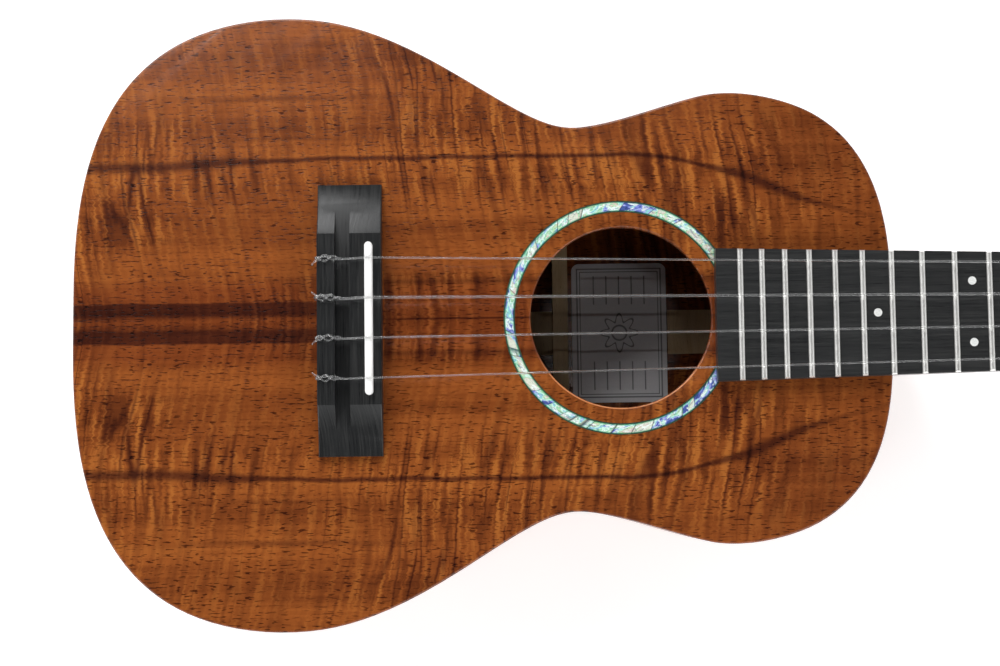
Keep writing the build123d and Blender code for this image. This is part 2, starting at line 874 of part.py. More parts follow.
with BuildPart() as head:
    for place, half_width, depth, fullness in head_levels:
        start = head_face.from_local_coords(Vector(place, 0, 0))
        with BuildSketch(Plane(origin=start, x_dir=(0, 1, 0), z_dir=head_face.x_dir)):
            add(rounded_section(half_width, depth, fullness))
    loft(ruled=True)
    with BuildSketch(head_face):
        add(head_outline())
    extrude(amount=-2 * neck_depth_at_nut, mode=Mode.INTERSECT)
    with BuildSketch(head_face):
        with Locations(post_spots):
            Circle(bushing_radius)
    extrude(amount=-bushing_depth, mode=Mode.SUBTRACT)
    with BuildSketch(head_face):
        with Locations(post_spots):
            Circle(post_radius + 2 * running_clearance)
    extrude(amount=-2 * head_wood_thickness, mode=Mode.SUBTRACT)

with BuildPart() as neck:
    add(shaft.part)
    add(heel.part)
    with BuildSketch(Plane.XY.offset(heel_low_z)):
        with BuildLine():
            Polyline(
                (trim_start_x, -fretboard_half_width(trim_start_x)),
                (nut_back_x, -nut_width / 2),
                (nut_back_x, nut_width / 2),
                (trim_start_x, fretboard_half_width(trim_start_x)),
                close=True,
            )
        make_face()
    extrude(amount=heel_height, mode=Mode.INTERSECT)
    add(head.part)
    add(body_room.part, mode=Mode.SUBTRACT)
    with BuildSketch(bolt_place):
        Circle(insert_radius)
    extrude(amount=insert_length, mode=Mode.SUBTRACT)
    for name in string_names:
        for spot in plate_screw_spots:
            with BuildSketch(at_tuner(tuner_frame(name), y=side_of(name) * spot)):
                Circle(plate_screw_radius)
            extrude(amount=plate_screw_length - plate_thickness, mode=Mode.SUBTRACT)
save(neck, "neck")

with BuildPart() as heel_cap:
    with BuildSketch(Plane.XY.offset(heel_cap_rise)):
        add(heel_section(heel_levels[0][1], heel_levels[0][2] * neck_half_width(heel_x)))
    extrude(amount=heel_cap_thickness)
    add(body_room.part, mode=Mode.SUBTRACT)
save(heel_cap, "heel_cap")

with BuildPart() as neck_insert:
    with BuildSketch(bolt_place):
        Circle(insert_radius)
        Circle(bolt_radius, mode=Mode.SUBTRACT)
    extrude(amount=insert_length)
    add(body_room.part, mode=Mode.SUBTRACT)
save(neck_insert, "neck_insert")

bolt_head_x = body_front_x - rib_thickness - neck_block_length
with BuildPart() as neck_bolt:
    with BuildSketch(cross_plane(bolt_head_x, bolt_height)):
        Circle(bolt_radius)
    extrude(amount=body_front_x - bolt_head_x + bolt_grip_share * insert_length)
    with BuildSketch(cross_plane(bolt_head_x, bolt_height)):
        Circle(bolt_head_radius)
    extrude(amount=-bolt_head_height)
    fillet(neck_bolt.faces().sort_by(Axis.X)[0].edges(), bolt_head_edge_radius)
    with BuildSketch(cross_plane(bolt_head_x - bolt_head_height, bolt_height)):
        RegularPolygon(bolt_radius, 6)
    extrude(amount=bolt_key_depth, mode=Mode.SUBTRACT)
save(neck_bolt, "neck_bolt")

# ---------------------------------------------------------------- head plate and nut
with BuildPart() as head_plate:
    with BuildSketch(head_face):
        add(head_outline())
        with Locations(post_spots):
            Circle(bushing_radius, mode=Mode.SUBTRACT)
    extrude(amount=head_plate_thickness)
save(head_plate, "head_plate")

break_x = scale_length + nut_slot_share * nut_thickness
nut_top_z = string_under_z(scale_length) + nut_cover_share * max(string_diameters)
slot_start_x, slot_end_x = scale_length - 1.0, nut_back_x + 1.0
slot_bend_x = break_x - 0.3

with BuildPart() as nut:
    with BuildSketch(cross_plane(scale_length, top_z)):
        Rectangle(nut_width, nut_top_z - top_z, align=(Align.CENTER, Align.MIN))
    extrude(amount=nut_thickness)
    fillet(nut.edges().filter_by(Axis.X).group_by(Axis.Z)[-1], nut_edge_radius)
    fillet(nut.edges().filter_by(Axis.Y).group_by(Axis.Z)[-1].sort_by(Axis.X)[-1], nut_back_radius)
    for spot, diameter in zip(nut_spots, string_diameters):
        seat_z = string_under_z(break_x) - string_clearance
        back_z = seat_z - (slot_end_x - slot_bend_x) * tan(radians(2 * head_angle))
        with BuildSketch(Plane.XZ.offset(-spot)):
            with BuildLine():
                Polyline(
                    (slot_start_x, seat_z),
                    (slot_bend_x, seat_z),
                    (slot_end_x, back_z),
                    (slot_end_x, seat_z + nut_slot_height),
                    (slot_start_x, seat_z + nut_slot_height),
                    close=True,
                )
            make_face()
        extrude(amount=diameter / 2 + nut_slot_clearance, both=True, mode=Mode.SUBTRACT)
save(nut, "nut")

# ---------------------------------------------------------------- tuners
def involute(angle):
    return tan(angle) - angle


def tooth_half_angle(radius):
    base_radius = gear_pitch_radius * cos(radians(pressure_angle))
    at_pitch = (pi * gear_module / 2 - gear_backlash) / (2 * gear_pitch_radius)
    if radius <= base_radius:
        return at_pitch + involute(radians(pressure_angle))
    return at_pitch + involute(radians(pressure_angle)) - involute(acos(base_radius / radius))


def gear_profile(turn):
    """The gear's outline, with one tooth centred on its own +Y when turn is 0."""
    levels = [
        gear_root_radius,
        gear_pitch_radius - 0.4 * gear_module,
        gear_pitch_radius,
        gear_pitch_radius + 0.5 * gear_module,
        gear_outer_radius,
    ]
    points = []
    for tooth in range(gear_teeth):
        centre = pi / 2 + turn + 2 * pi * tooth / gear_teeth
        for radius in levels:
            angle = centre - tooth_half_angle(radius)
            points.append((radius * cos(angle), radius * sin(angle)))
        for radius in reversed(levels):
            angle = centre + tooth_half_angle(radius)
            points.append((radius * cos(angle), radius * sin(angle)))
    with BuildSketch() as shape:
        with BuildLine():
            Polyline(*points, close=True)
        make_face()
    return shape.sketch


gear_twist = gear_face_width * gear_module / (2 * worm_pitch_radius * gear_pitch_radius)


def make_gear(name):
    frame = tuner_frame(name)
    with BuildPart() as gear:
        with BuildSketch(at_tuner(frame, z=gear_low_z)):
            add(gear_profile(-gear_twist / 2))
        with BuildSketch(at_tuner(frame, z=gear_high_z)):
            add(gear_profile(gear_twist / 2))
        loft(ruled=True)
        with BuildSketch(at_tuner(frame, z=gear_low_z)):
            Circle(gear_stub_radius)
        extrude(amount=gear_face_width, mode=Mode.SUBTRACT)
    save(gear, f"tuner_gear_{name}")


def make_post(name):
    """A post with its string hole near the top and a riveted end that holds the gear."""
    frame = tuner_frame(name)
    diameter = string_diameters[string_names.index(name)]
    waist_low = face_z + wrap_top_height - (wrap_turns + 1) * diameter - 2 * string_clearance
    waist_high = face_z + post_hole_height + post_waist_rise
    flare_high = waist_high + post_flare_rise
    crown_low = face_z + post_height - post_crown_height
    hole_place = at_tuner(frame, z=face_z + post_hole_height, x_dir=(0, 1, 0), z_dir=(1, 0, 0))
    with BuildPart() as post:
        with BuildSketch(at_tuner(frame, z=gear_low_z - rivet_height)):
            Circle(0.6 * rivet_radius)
        with BuildSketch(at_tuner(frame, z=gear_low_z - 0.4 * rivet_height)):
            Circle(0.95 * rivet_radius)
        with BuildSketch(at_tuner(frame, z=gear_low_z)):
            Circle(rivet_radius)
        loft()
        with BuildSketch(at_tuner(frame, z=gear_low_z)):
            Circle(gear_stub_radius)
        extrude(amount=gear_face_width)
        with BuildSketch(at_tuner(frame, z=gear_high_z)):
            Circle(post_radius)
        extrude(amount=waist_low - gear_high_z)
        with BuildSketch(at_tuner(frame, z=waist_low)):
            Circle(post_waist_radius)
        extrude(amount=waist_high - waist_low)
        with BuildSketch(at_tuner(frame, z=waist_high)):
            Circle(post_waist_radius)
        with BuildSketch(at_tuner(frame, z=flare_high)):
            Circle(post_radius)
        loft()
        with BuildSketch(at_tuner(frame, z=flare_high)):
            Circle(post_radius)
        extrude(amount=crown_low - flare_high)
        with BuildSketch(at_tuner(frame, z=crown_low)):
            Circle(post_radius)
        with BuildSketch(at_tuner(frame, z=crown_low + 0.7 * post_crown_height)):
            Circle(post_radius - 0.3 * post_crown_height)
        with BuildSketch(at_tuner(frame, z=crown_low + post_crown_height)):
            Circle(post_radius - post_crown_height)
        loft()
        with BuildSketch(hole_place):
            Circle(post_hole_radius)
        extrude(amount=2 * post_radius, both=True, mode=Mode.SUBTRACT)
    save(post, f"tuner_post_{name}")


def make_wraps(name):
    """The turns of string wound on the post, and the cut tail that sticks out of the post's hole."""
    frame = tuner_frame(name)
    diameter = string_diameters[string_names.index(name)]
    hole_place = at_tuner(frame, z=face_z + post_hole_height, x_dir=(0, 1, 0), z_dir=(1, 0, 0))
    with BuildPart() as wraps:
        with BuildSketch(at_tuner(frame, z=face_z + wrap_top_height - wrap_turns * diameter)):
            Circle(post_waist_radius + diameter)
            Circle(post_waist_radius, mode=Mode.SUBTRACT)
        extrude(amount=wrap_turns * diameter)
        for turn in range(1, wrap_turns):
            low = face_z + wrap_top_height - turn * diameter
            with BuildSketch(at_tuner(frame, z=low - wrap_groove_share * diameter)):
                Circle(post_waist_radius + 2 * diameter)
                Circle(post_waist_radius + 0.85 * diameter, mode=Mode.SUBTRACT)
            extrude(amount=2 * wrap_groove_share * diameter, mode=Mode.SUBTRACT)
        with BuildSketch(hole_place):
            Circle(diameter / 2)
        extrude(amount=string_tail, both=True)
        with BuildSketch(hole_place):
            Circle(diameter)
        extrude(amount=-2 * string_tail, mode=Mode.SUBTRACT)
    save(wraps, f"string_wraps_{name}")


thread_curve = Helix(worm_pitch, worm_length, worm_pitch_radius)
thread_width = worm_pitch / 2 - worm_backlash
flank_slope = tan(radians(pressure_angle))
# the thread's root and crest, measured out from the pitch radius: the root is sunk into the core
thread_low = worm_core_radius - thread_root_depth - worm_pitch_radius
thread_high = gear_module - thread_crest_gap


def worm_place(name):
    """The worm's axis: origin midway along the thread, Z out to the button, X away from the gear."""
    frame, side = tuner_frame(name), side_of(name)
    return at_tuner(
        frame, y=side * worm_offset, z=-worm_axis_depth, x_dir=(0, side, 0), z_dir=(1, 0, 0)
    )


def make_worm(name):
    """A worm on its shaft. The right-hand thread leaves a gap for the gear's tooth midway."""
    axis = worm_place(name)
    path = thread_curve.moved(axis.offset(-worm_length / 2).location)
    inner_end = -(plate_half_length + shaft_end_length)
    outer_end = plate_half_length + button_gap + button_bore_depth
    with BuildPart() as worm:
        with BuildSketch(Plane(origin=path @ 0, x_dir=axis.x_dir, z_dir=path % 0)):
            with BuildLine():
                Polyline(
                    (thread_low, -thread_width / 2 + thread_low * flank_slope),
                    (thread_high, -thread_width / 2 + thread_high * flank_slope),
                    (thread_high, thread_width / 2 - thread_high * flank_slope),
                    (thread_low, thread_width / 2 - thread_low * flank_slope),
                    close=True,
                )
            make_face()
        sweep(path=path, is_frenet=True)
        with BuildSketch(axis.offset(inner_end)):
            Circle(worm_core_radius)
        extrude(amount=outer_end - inner_end)
    save(worm, f"tuner_worm_{name}")


def make_button(name):
    """An oval button with a collar, pushed onto the end of the worm's shaft."""
    frame, side = tuner_frame(name), side_of(name)
    axis = worm_place(name)
    start = plate_half_length + button_gap
    middle = at_tuner(
        frame, x=start + button_length / 2, y=side * worm_offset, z=-worm_axis_depth
    )
    with BuildPart() as button:
        with BuildSketch(middle.offset(-button_thickness / 2)):
            Ellipse(button_length / 2, button_width / 2)
        extrude(amount=button_thickness)
        fillet(button.edges(), button_edge_radius)
        with BuildSketch(axis.offset(start - collar_rise)):
            Circle(worm_core_radius + collar_wall)
        extrude(amount=collar_length)
        with BuildSketch(axis.offset(start - collar_rise)):
            Circle(worm_core_radius)
        extrude(amount=button_bore_depth + collar_rise, mode=Mode.SUBTRACT)
    save(button, f"tuner_button_{name}")


def make_plate(name):
    """A plate screwed behind the head, with two lugs that carry the worm's shaft."""
    frame, side = tuner_frame(name), side_of(name)
    axis = worm_place(name)
    end_round = plate_screw_head_radius + plate_end_margin
    low_y = min(side * spot for spot in plate_screw_spots) - end_round
    high_y = max(side * spot for spot in plate_screw_spots) + end_round
    plate_face = at_tuner(frame, z=-plate_thickness)
    with BuildPart() as plate:
        with BuildSketch(plate_face):
            with Locations((0, (low_y + high_y) / 2)):
                RectangleRounded(2 * plate_half_length, high_y - low_y, end_round)
            Circle(post_radius + running_clearance, mode=Mode.SUBTRACT)
            with Locations([(0, side * spot) for spot in plate_screw_spots]):
                Circle(plate_screw_radius, mode=Mode.SUBTRACT)
        extrude(amount=plate_thickness)
        for lug_start in (-plate_half_length, plate_half_length - lug_thickness):
            with BuildSketch(axis.offset(lug_start)):
                Circle(lug_radius)
            extrude(amount=lug_thickness)
            with BuildSketch(axis.offset(lug_start)):
                with Locations((0, side * worm_axis_depth / 2)):
                    Rectangle(2 * lug_radius, worm_axis_depth)
            extrude(amount=lug_thickness)
            with BuildSketch(axis.offset(lug_start)):
                Circle(worm_core_radius + running_clearance)
            extrude(amount=lug_thickness, mode=Mode.SUBTRACT)
    save(plate, f"tuner_plate_{name}")


for string_name in string_names:
    make_gear(string_name)
    make_post(string_name)
    make_wraps(string_name)
    make_worm(string_name)
    make_button(string_name)
    make_plate(string_name)

with BuildPart() as bushings:
    for name in string_names:
        frame = tuner_frame(name)
        with BuildSketch(at_tuner(frame, z=head_wood_thickness - bushing_depth)):
            Circle(bushing_radius)
        extrude(amount=bushing_depth + head_plate_thickness)
        with BuildSketch(at_tuner(frame, z=face_z)):
            Circle(bushing_flange_radius)
        extrude(amount=0.6 * bushing_flange_height)
        with BuildSketch(at_tuner(frame, z=face_z + 0.6 * bushing_flange_height)):
            Circle(bushing_flange_radius)
        with BuildSketch(at_tuner(frame, z=face_z + bushing_flange_height)):
            Circle(0.8 * bushing_flange_radius)
        loft()
        with BuildSketch(at_tuner(frame, z=0)):
            Circle(post_radius + running_clearance)
        extrude(amount=face_z + 2 * bushing_flange_height, mode=Mode.SUBTRACT)
save(bushings, "post_bushings")

with BuildPart() as plate_screws:
    for name in string_names:
        frame = tuner_frame(name)
        for spot in plate_screw_spots:
            y = side_of(name) * spot
            with BuildSketch(at_tuner(frame, y=y, z=-plate_thickness)):
                Circle(plate_screw_radius)
            extrude(amount=plate_screw_length)
            with BuildSketch(at_tuner(frame, y=y, z=-plate_thickness)):
                Circle(plate_screw_head_radius)
            with BuildSketch(at_tuner(frame, y=y, z=-plate_thickness - 0.65 * screw_head_height)):
                Circle(0.85 * plate_screw_head_radius)
            with BuildSketch(at_tuner(frame, y=y, z=-plate_thickness - screw_head_height)):
                Circle(0.45 * plate_screw_head_radius)
            loft()
            with BuildSketch(at_tuner(frame, y=y, z=-plate_thickness - screw_head_height)):
                Rectangle(1.5 * plate_screw_head_radius, screw_slot_width)
                Rectangle(screw_slot_width, 1.5 * plate_screw_head_radius)
            extrude(amount=screw_slot_depth, mode=Mode.SUBTRACT)
save(plate_screws, "plate_screws")

# ---------------------------------------------------------------- strings


def string_path(name):
    """A string's centre line: round the tie block, over saddle and nut, and part way round its post."""
    index = string_names.index(name)
    radius = string_diameters[index] / 2
    behind, beside = saddle_spots[index], nut_spots[index]
    over_block_z = bridge_top_z + string_clearance + radius
    back_x = tie_back_x - string_clearance - radius
    crown = Vector(
        saddle_x - saddle_edge_gap, behind, saddle_top_z + string_clearance + radius
    )
    bend = Vector(break_x, beside, string_under_z(break_x) + radius)
    corners = [
        Vector(tie_front_x - tie_edge_gap, behind + 3 * radius, over_block_z),
        Vector(back_x, behind + 1.5 * radius, over_block_z),
        Vector(back_x, behind, tie_hole_z),
        Vector(tie_front_x, behind, tie_hole_z),
        crown,
        bend,
    ]
    frame = tuner_frame(name)
    level = face_z + wrap_top_height - wrap_turns * 2 * radius - string_clearance - radius
    wind_radius = post_waist_radius + string_clearance + radius
    start = frame.to_local_coords(bend)
    towards = atan2(start.Y, start.X)
    distance = sqrt(start.X**2 + start.Y**2)
    swing = acos(wind_radius / distance)
    sign = 1 if cos(towards + swing) < cos(towards - swing) else -1

    def around(turn):
        angle = towards + sign * (swing + radians(turn))
        return frame.from_local_coords(
            Vector(wind_radius * cos(angle), wind_radius * sin(angle), level)
        )

    flat_start = frame.from_local_coords(Vector(start.X, start.Y, level))
    level_out = around(0) + (flat_start - around(0)).normalized() * level_run
    corners += [level_out, around(0)]
    bends = [radius + tie_bend_gap] * 2 + [saddle_bend_radius] * 2
    bends += [nut_bend_radius, 2 * nut_bend_radius]
    return corners, bends, [around(0), around(last_turn / 2), around(last_turn)]


for name, diameter in zip(string_names, string_diameters):
    corners, bends, last_arc = string_path(name)
    with BuildPart() as string:
        with BuildLine() as route:
            run = FilletPolyline(*corners, radius=bends)
            ThreePointArc(*last_arc)
        with BuildSketch(Plane(origin=run @ 0, z_dir=run % 0)):
            Circle(diameter / 2)
        sweep()
    save(string, f"string_{name}")
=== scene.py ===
"""Looks of the tenor ukulele: koa, shell, ebony, clear strings and geared tuners."""

import math

import bpy
from mathutils import Euler, Matrix, Vector


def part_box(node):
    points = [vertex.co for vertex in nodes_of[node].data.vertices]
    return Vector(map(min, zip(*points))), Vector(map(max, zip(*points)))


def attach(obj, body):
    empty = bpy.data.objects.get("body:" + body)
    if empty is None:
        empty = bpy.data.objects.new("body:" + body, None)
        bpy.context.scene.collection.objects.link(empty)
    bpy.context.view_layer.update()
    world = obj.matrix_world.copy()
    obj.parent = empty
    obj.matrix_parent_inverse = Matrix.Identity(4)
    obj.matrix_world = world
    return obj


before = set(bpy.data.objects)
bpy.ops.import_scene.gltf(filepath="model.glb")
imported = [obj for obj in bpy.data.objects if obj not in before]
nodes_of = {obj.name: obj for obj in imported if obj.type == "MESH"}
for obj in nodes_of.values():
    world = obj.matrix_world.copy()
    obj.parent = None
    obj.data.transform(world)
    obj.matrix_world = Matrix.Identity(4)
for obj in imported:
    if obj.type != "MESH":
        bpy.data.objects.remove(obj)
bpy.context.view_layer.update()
MM = 0.001
STRINGS = ("g", "c", "e", "a")

# ---------------------------------------------------------------- places on the instrument, in mm
TOP_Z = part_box("soundboard")[1].z / MM
ring_low, ring_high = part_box("rosette_lines")
RING_RADIUS = (ring_high.y - ring_low.y) / 2 / MM
SHELL_WIDTH = 3.3
shell_low, shell_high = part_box("rosette")
SHELL_MIDDLE = (shell_high.y - shell_low.y) / 2 / MM - SHELL_WIDTH / 2
HOLE_X = ring_low.x / MM + RING_RADIUS
HOLE_RADIUS = 33.9
label_low, label_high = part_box("label")
LABEL_X = (label_low.x + label_high.x) / 2 / MM
LABEL_HALF_X = (label_high.x - label_low.x) / 2 / MM
LABEL_HALF_Y = (label_high.y - label_low.y) / 2 / MM
TIE_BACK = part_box("bridge")[0].x / MM

# ---------------------------------------------------------------- camera
CAMERA_X, CAMERA_Y, CAMERA_HEIGHT = 47.93, -67.01, 705.4
CAMERA_TILTS = ((-0.0871, 0, 0), (0, -0.0036, 0), (0, 0, 0.0123))
CAMERA_LENS = 67.98
SENSOR_WIDTH = 36.0

camera_data = bpy.data.cameras.new("camera")
camera_data.sensor_width = SENSOR_WIDTH
camera_data.lens = CAMERA_LENS
camera = bpy.data.objects.new("camera", camera_data)
tilt = Matrix.Identity(3)
for angles in CAMERA_TILTS:
    tilt = tilt @ Euler(angles).to_matrix()
camera_place = Vector((CAMERA_X, CAMERA_Y, TOP_Z + CAMERA_HEIGHT)) * MM
camera.matrix_world = Matrix.Translation(camera_place) @ tilt.transposed().to_4x4()
bpy.context.scene.collection.objects.link(camera)
bpy.context.scene.camera = camera
bpy.context.scene.view_settings.view_transform = "Standard"

# ---------------------------------------------------------------- light
# name, place and aim in m, size in m, power in W
LAMPS = (
    ("key", (-0.5, 1.35, 1.25), (0.1, 0, 0), 1.2, 25),
    ("fill", (1.1, -1.5, 1.1), (0.1, 0, 0), 1.6, 18),
    ("rim", (-1.3, -1.0, 0.7), (0.0, 0, 0), 0.7, 8),
)
SPOT_HEIGHT = 0.9
SPOT_POWER = 0.62
SPOT_SHARE = 0.85
SPOT_BLEND = 0.3
# the sky's strength falls between two heights, which are the upward parts of a unit direction
SKY_COLOUR = (0.98, 0.99, 1.0, 1)
SKY_FADE_FROM, SKY_FADE_TO = 0.50, 0.88
SKY_STRENGTH, ZENITH_STRENGTH = 1.05, 0.05


def make_light(name, place, aim, size, power):
    data = bpy.data.lights.new(name, "AREA")
    data.energy = power
    data.size = size
    light = bpy.data.objects.new(name, data)
    light.location = place
    light.rotation_mode = "QUATERNION"
    light.rotation_quaternion = (Vector(aim) - Vector(place)).to_track_quat("-Z", "Y")
    bpy.context.scene.collection.objects.link(light)


def make_spot():
    """A narrow lamp straight down through the soundhole, which shows the label."""
    data = bpy.data.lights.new("spot", "SPOT")
    data.energy = SPOT_POWER
    fall = SPOT_HEIGHT - TOP_Z * MM
    data.spot_size = 2 * math.atan(SPOT_SHARE * HOLE_RADIUS * MM / fall)
    data.spot_blend = SPOT_BLEND
    lamp = bpy.data.objects.new("spot", data)
    lamp.location = (HOLE_X * MM, 0, SPOT_HEIGHT)
    bpy.context.scene.collection.objects.link(lamp)


def make_sky():
    """Pale all round and darker overhead, so that the flat top doesn't mirror a bright ceiling."""
    world = bpy.data.worlds.new("studio")
    bpy.context.scene.world = world
    world.use_nodes = True
    tree = world.node_tree
    direction = tree.nodes.new("ShaderNodeTexCoord").outputs["Generated"]
    height = tree.nodes.new("ShaderNodeSeparateXYZ")
    tree.links.new(direction, height.inputs[0])
    fade = tree.nodes.new("ShaderNodeMapRange")
    fade.interpolation_type = "SMOOTHSTEP"
    fade.inputs[1].default_value = SKY_FADE_FROM
    fade.inputs[2].default_value = SKY_FADE_TO
    fade.inputs[3].default_value = SKY_STRENGTH
    fade.inputs[4].default_value = ZENITH_STRENGTH
    tree.links.new(height.outputs[2], fade.inputs[0])
    background = tree.nodes["Background"]
    background.inputs[0].default_value = SKY_COLOUR
    tree.links.new(fade.outputs[0], background.inputs[1])


for lamp in LAMPS:
    make_light(*lamp)
make_spot()
make_sky()

# ---------------------------------------------------------------- node helpers
SHADER_INPUTS = {
    "metallic": "Metallic",
    "specular": "Specular IOR Level",
    "ior": "IOR",
    "transmission": "Transmission Weight",
    "coat": "Coat Weight",
    "coat_roughness": "Coat Roughness",
    "glow_colour": "Emission Color",
    "glow": "Emission Strength",
}


class Recipe:
    """A material under construction, with short calls for the nodes that it needs."""

    def __init__(self, name):
        self.material = bpy.data.materials.new(name)
        self.material.use_nodes = True
        self.tree = self.material.node_tree
        self.shader = self.tree.nodes["Principled BSDF"]

    def set_input(self, socket, value):
        """Links a socket to the value if that is another node's output, and sets it otherwise."""
        if isinstance(value, bpy.types.NodeSocket):
            self.tree.links.new(value, socket)
        else:
            socket.default_value = value

    def node(self, kind, inputs, **settings):
        made = self.tree.nodes.new(kind)
        for key, value in settings.items():
            setattr(made, key, value)
        for key, value in inputs.items():
            self.set_input(made.inputs[key], value)
        return made

    def math(self, operation, first, second=0.0):
        return self.node("ShaderNodeMath", {0: first, 1: second}, operation=operation).outputs[0]

    def add(self, first, second):
        return self.math("ADD", first, second)

    def subtract(self, first, second):
        return self.math("SUBTRACT", first, second)

    def times(self, first, second):
        return self.math("MULTIPLY", first, second)

    def size_of(self, value):
        return self.math("ABSOLUTE", value)

    def length(self, first, second):
        """The length of a flat vector from its two parts."""
        return self.math("SQRT", self.add(self.times(first, first), self.times(second, second)))

    def millimetres(self):
        """The three parts of a place on the object, in mm."""
        place = self.tree.nodes.new("ShaderNodeTexCoord").outputs["Object"]
        scaled = self.node("ShaderNodeVectorMath", {0: place, 3: 1 / MM}, operation="SCALE")
        split = self.node("ShaderNodeSeparateXYZ", {0: scaled.outputs[0]})
        return split.outputs[0], split.outputs[1], split.outputs[2]

    def vector(self, x, y, z):
        return self.node("ShaderNodeCombineXYZ", {0: x, 1: y, 2: z}).outputs[0]

    def noise(self, place, pitches, seed=0.0, detail=2.0, roughness=0.5, distortion=0.0):
        """Noise about 0.5, with pitches as the features to the mm along and across."""
        along, across = place
        spot = self.vector(self.times(along, pitches[0]), self.times(across, pitches[1]), seed)
        settings = {
            "Vector": spot,
            "Scale": 1.0,
            "Detail": detail,
            "Roughness": roughness,
            "Distortion": distortion,
        }
        return self.node("ShaderNodeTexNoise", settings).outputs[0]

    def step(self, value, low, high, out_low=0.0, out_high=1.0):
        """Smoothly from out_low where value is low to out_high where it is high."""
        made = self.node(
            "ShaderNodeMapRange",
            {0: value, 1: low, 2: high, 3: out_low, 4: out_high},
            interpolation_type="SMOOTHSTEP",
        )
        return made.outputs[0]

    def band(self, value, centre, half_width):
        """1 at centre, fading to 0 a half width away on both sides."""
        away = self.size_of(self.subtract(value, centre))
        return self.step(self.math("DIVIDE", away, half_width), 0.0, 1.0, 1.0, 0.0)

    def mix(self, share, first, second, blend="MIX"):
        inputs = {0: share, 6: first, 7: second}
        made = self.node("ShaderNodeMix", inputs, data_type="RGBA", blend_type=blend)
        return made.outputs[2]

    def darken(self, colour, share, tint):
        return self.mix(share, colour, tint, "MULTIPLY")

    def ramp(self, value, stops):
        made = self.node("ShaderNodeValToRGB", {0: value})
        points = made.color_ramp.elements
        while len(points) < len(stops):
            points.new(0.5)
        for point, (place, colour) in zip(points, stops):
            point.position = place
            point.color = (*colour, 1)
        return made.outputs[0]

    def bump(self, height, depth_mm, strength):
        inputs = {"Height": height, "Distance": depth_mm * MM, "Strength": strength}
        made = self.node("ShaderNodeBump", inputs)
        self.tree.links.new(made.outputs[0], self.shader.inputs["Normal"])

    def finish(self, colour, roughness, **fixed):
        self.set_input(self.shader.inputs["Base Color"], colour)
        self.set_input(self.shader.inputs["Roughness"], roughness)
        for key, value in fixed.items():
            self.shader.inputs[SHADER_INPUTS[key]].default_value = value
        return self.material


# ---------------------------------------------------------------- wood
# PITCH values are features to the mm, along and across the grain.
# STEP values are what a step needs: two limits, then the results at them (0 and 1 where left out).
KOA_STOPS = (
    (0.25, (0.112, 0.0255, 0.0062)),
    (0.42, (0.198, 0.0490, 0.0098)),
    (0.58, (0.285, 0.0760, 0.0145)),
    (0.75, (0.372, 0.1120, 0.0210)),
)
KOA_GLOW = (0.43, 0.140, 0.026, 1)
KOA_DARK = (0.36, 0.30, 0.46, 1)
KOA_STREAK = (0.20, 0.15, 0.34, 1)
# painted highlight colour for the soundhole's rounded treble edge
KOA_RIM_HIGHLIGHT = (0.72, 0.27, 0.10, 1)
KOA_PORE = (0.24, 0.18, 0.20, 1)
KOA_ABOVE = (0.62, 0.50, 0.60, 1)
KOA_HEART = (0.24, 0.20, 0.42, 1)
KOA_RED = (0.52, 0.36, 0.46, 1)
KOA_SHADE = (0.55, 0.48, 0.60, 1)
# painted shade colour for the soundboard's rounded edges
KOA_EDGE_SHADE = (0.35, 0.28, 0.25, 1)

BROAD_PITCH, BROAD_SHARE = (0.005, 0.075), 0.65
FINE_PITCH, FINE_SHARE = (0.02, 0.60), 0.35
# the curl leans and wanders, and it comes and goes in patches
LEAN = 0.13
WARP_PITCH, WARP_LENGTH = (0.012, 0.018), 9.0
CURL_PATCH_PITCH, CURL_PATCH_STEP = (0.016, 0.022), (0.36, 0.60, 0.35, 1.0)
# neighbouring strips of grain shift the curl a little, like a loose weave
STRIP_PITCH, STRIP_SHIFT, LINE_SHIFT = (0.045, 0.85), 2.6, 0.9
# dark curl lines: their pitches, how thick and how dark
CURL_LINES = (((0.075, 0.006), 0.042, 0.95), ((0.150, 0.010), 0.060, 0.85))
BREAK_PITCH, BREAK_STEP = (0.10, 0.045), (0.36, 0.54, 0.20)
WAVE_PITCH = (0.42, 0.045)
GLOW_STEP, GLOW_SHARE = (0.50, 0.66), 0.75
DIM_STEP, DIM_SHARE = (0.34, 0.50, 1.0, 0.0), 0.62
PORE_PITCH, PORE_STEP = (0.30, 1.55), (0.35, 0.41, 0.95, 0.0)
PORE_PATCH_PITCH, PORE_PATCH_STEP = (0.05, 0.08), (0.36, 0.56, 0.45, 1.0)


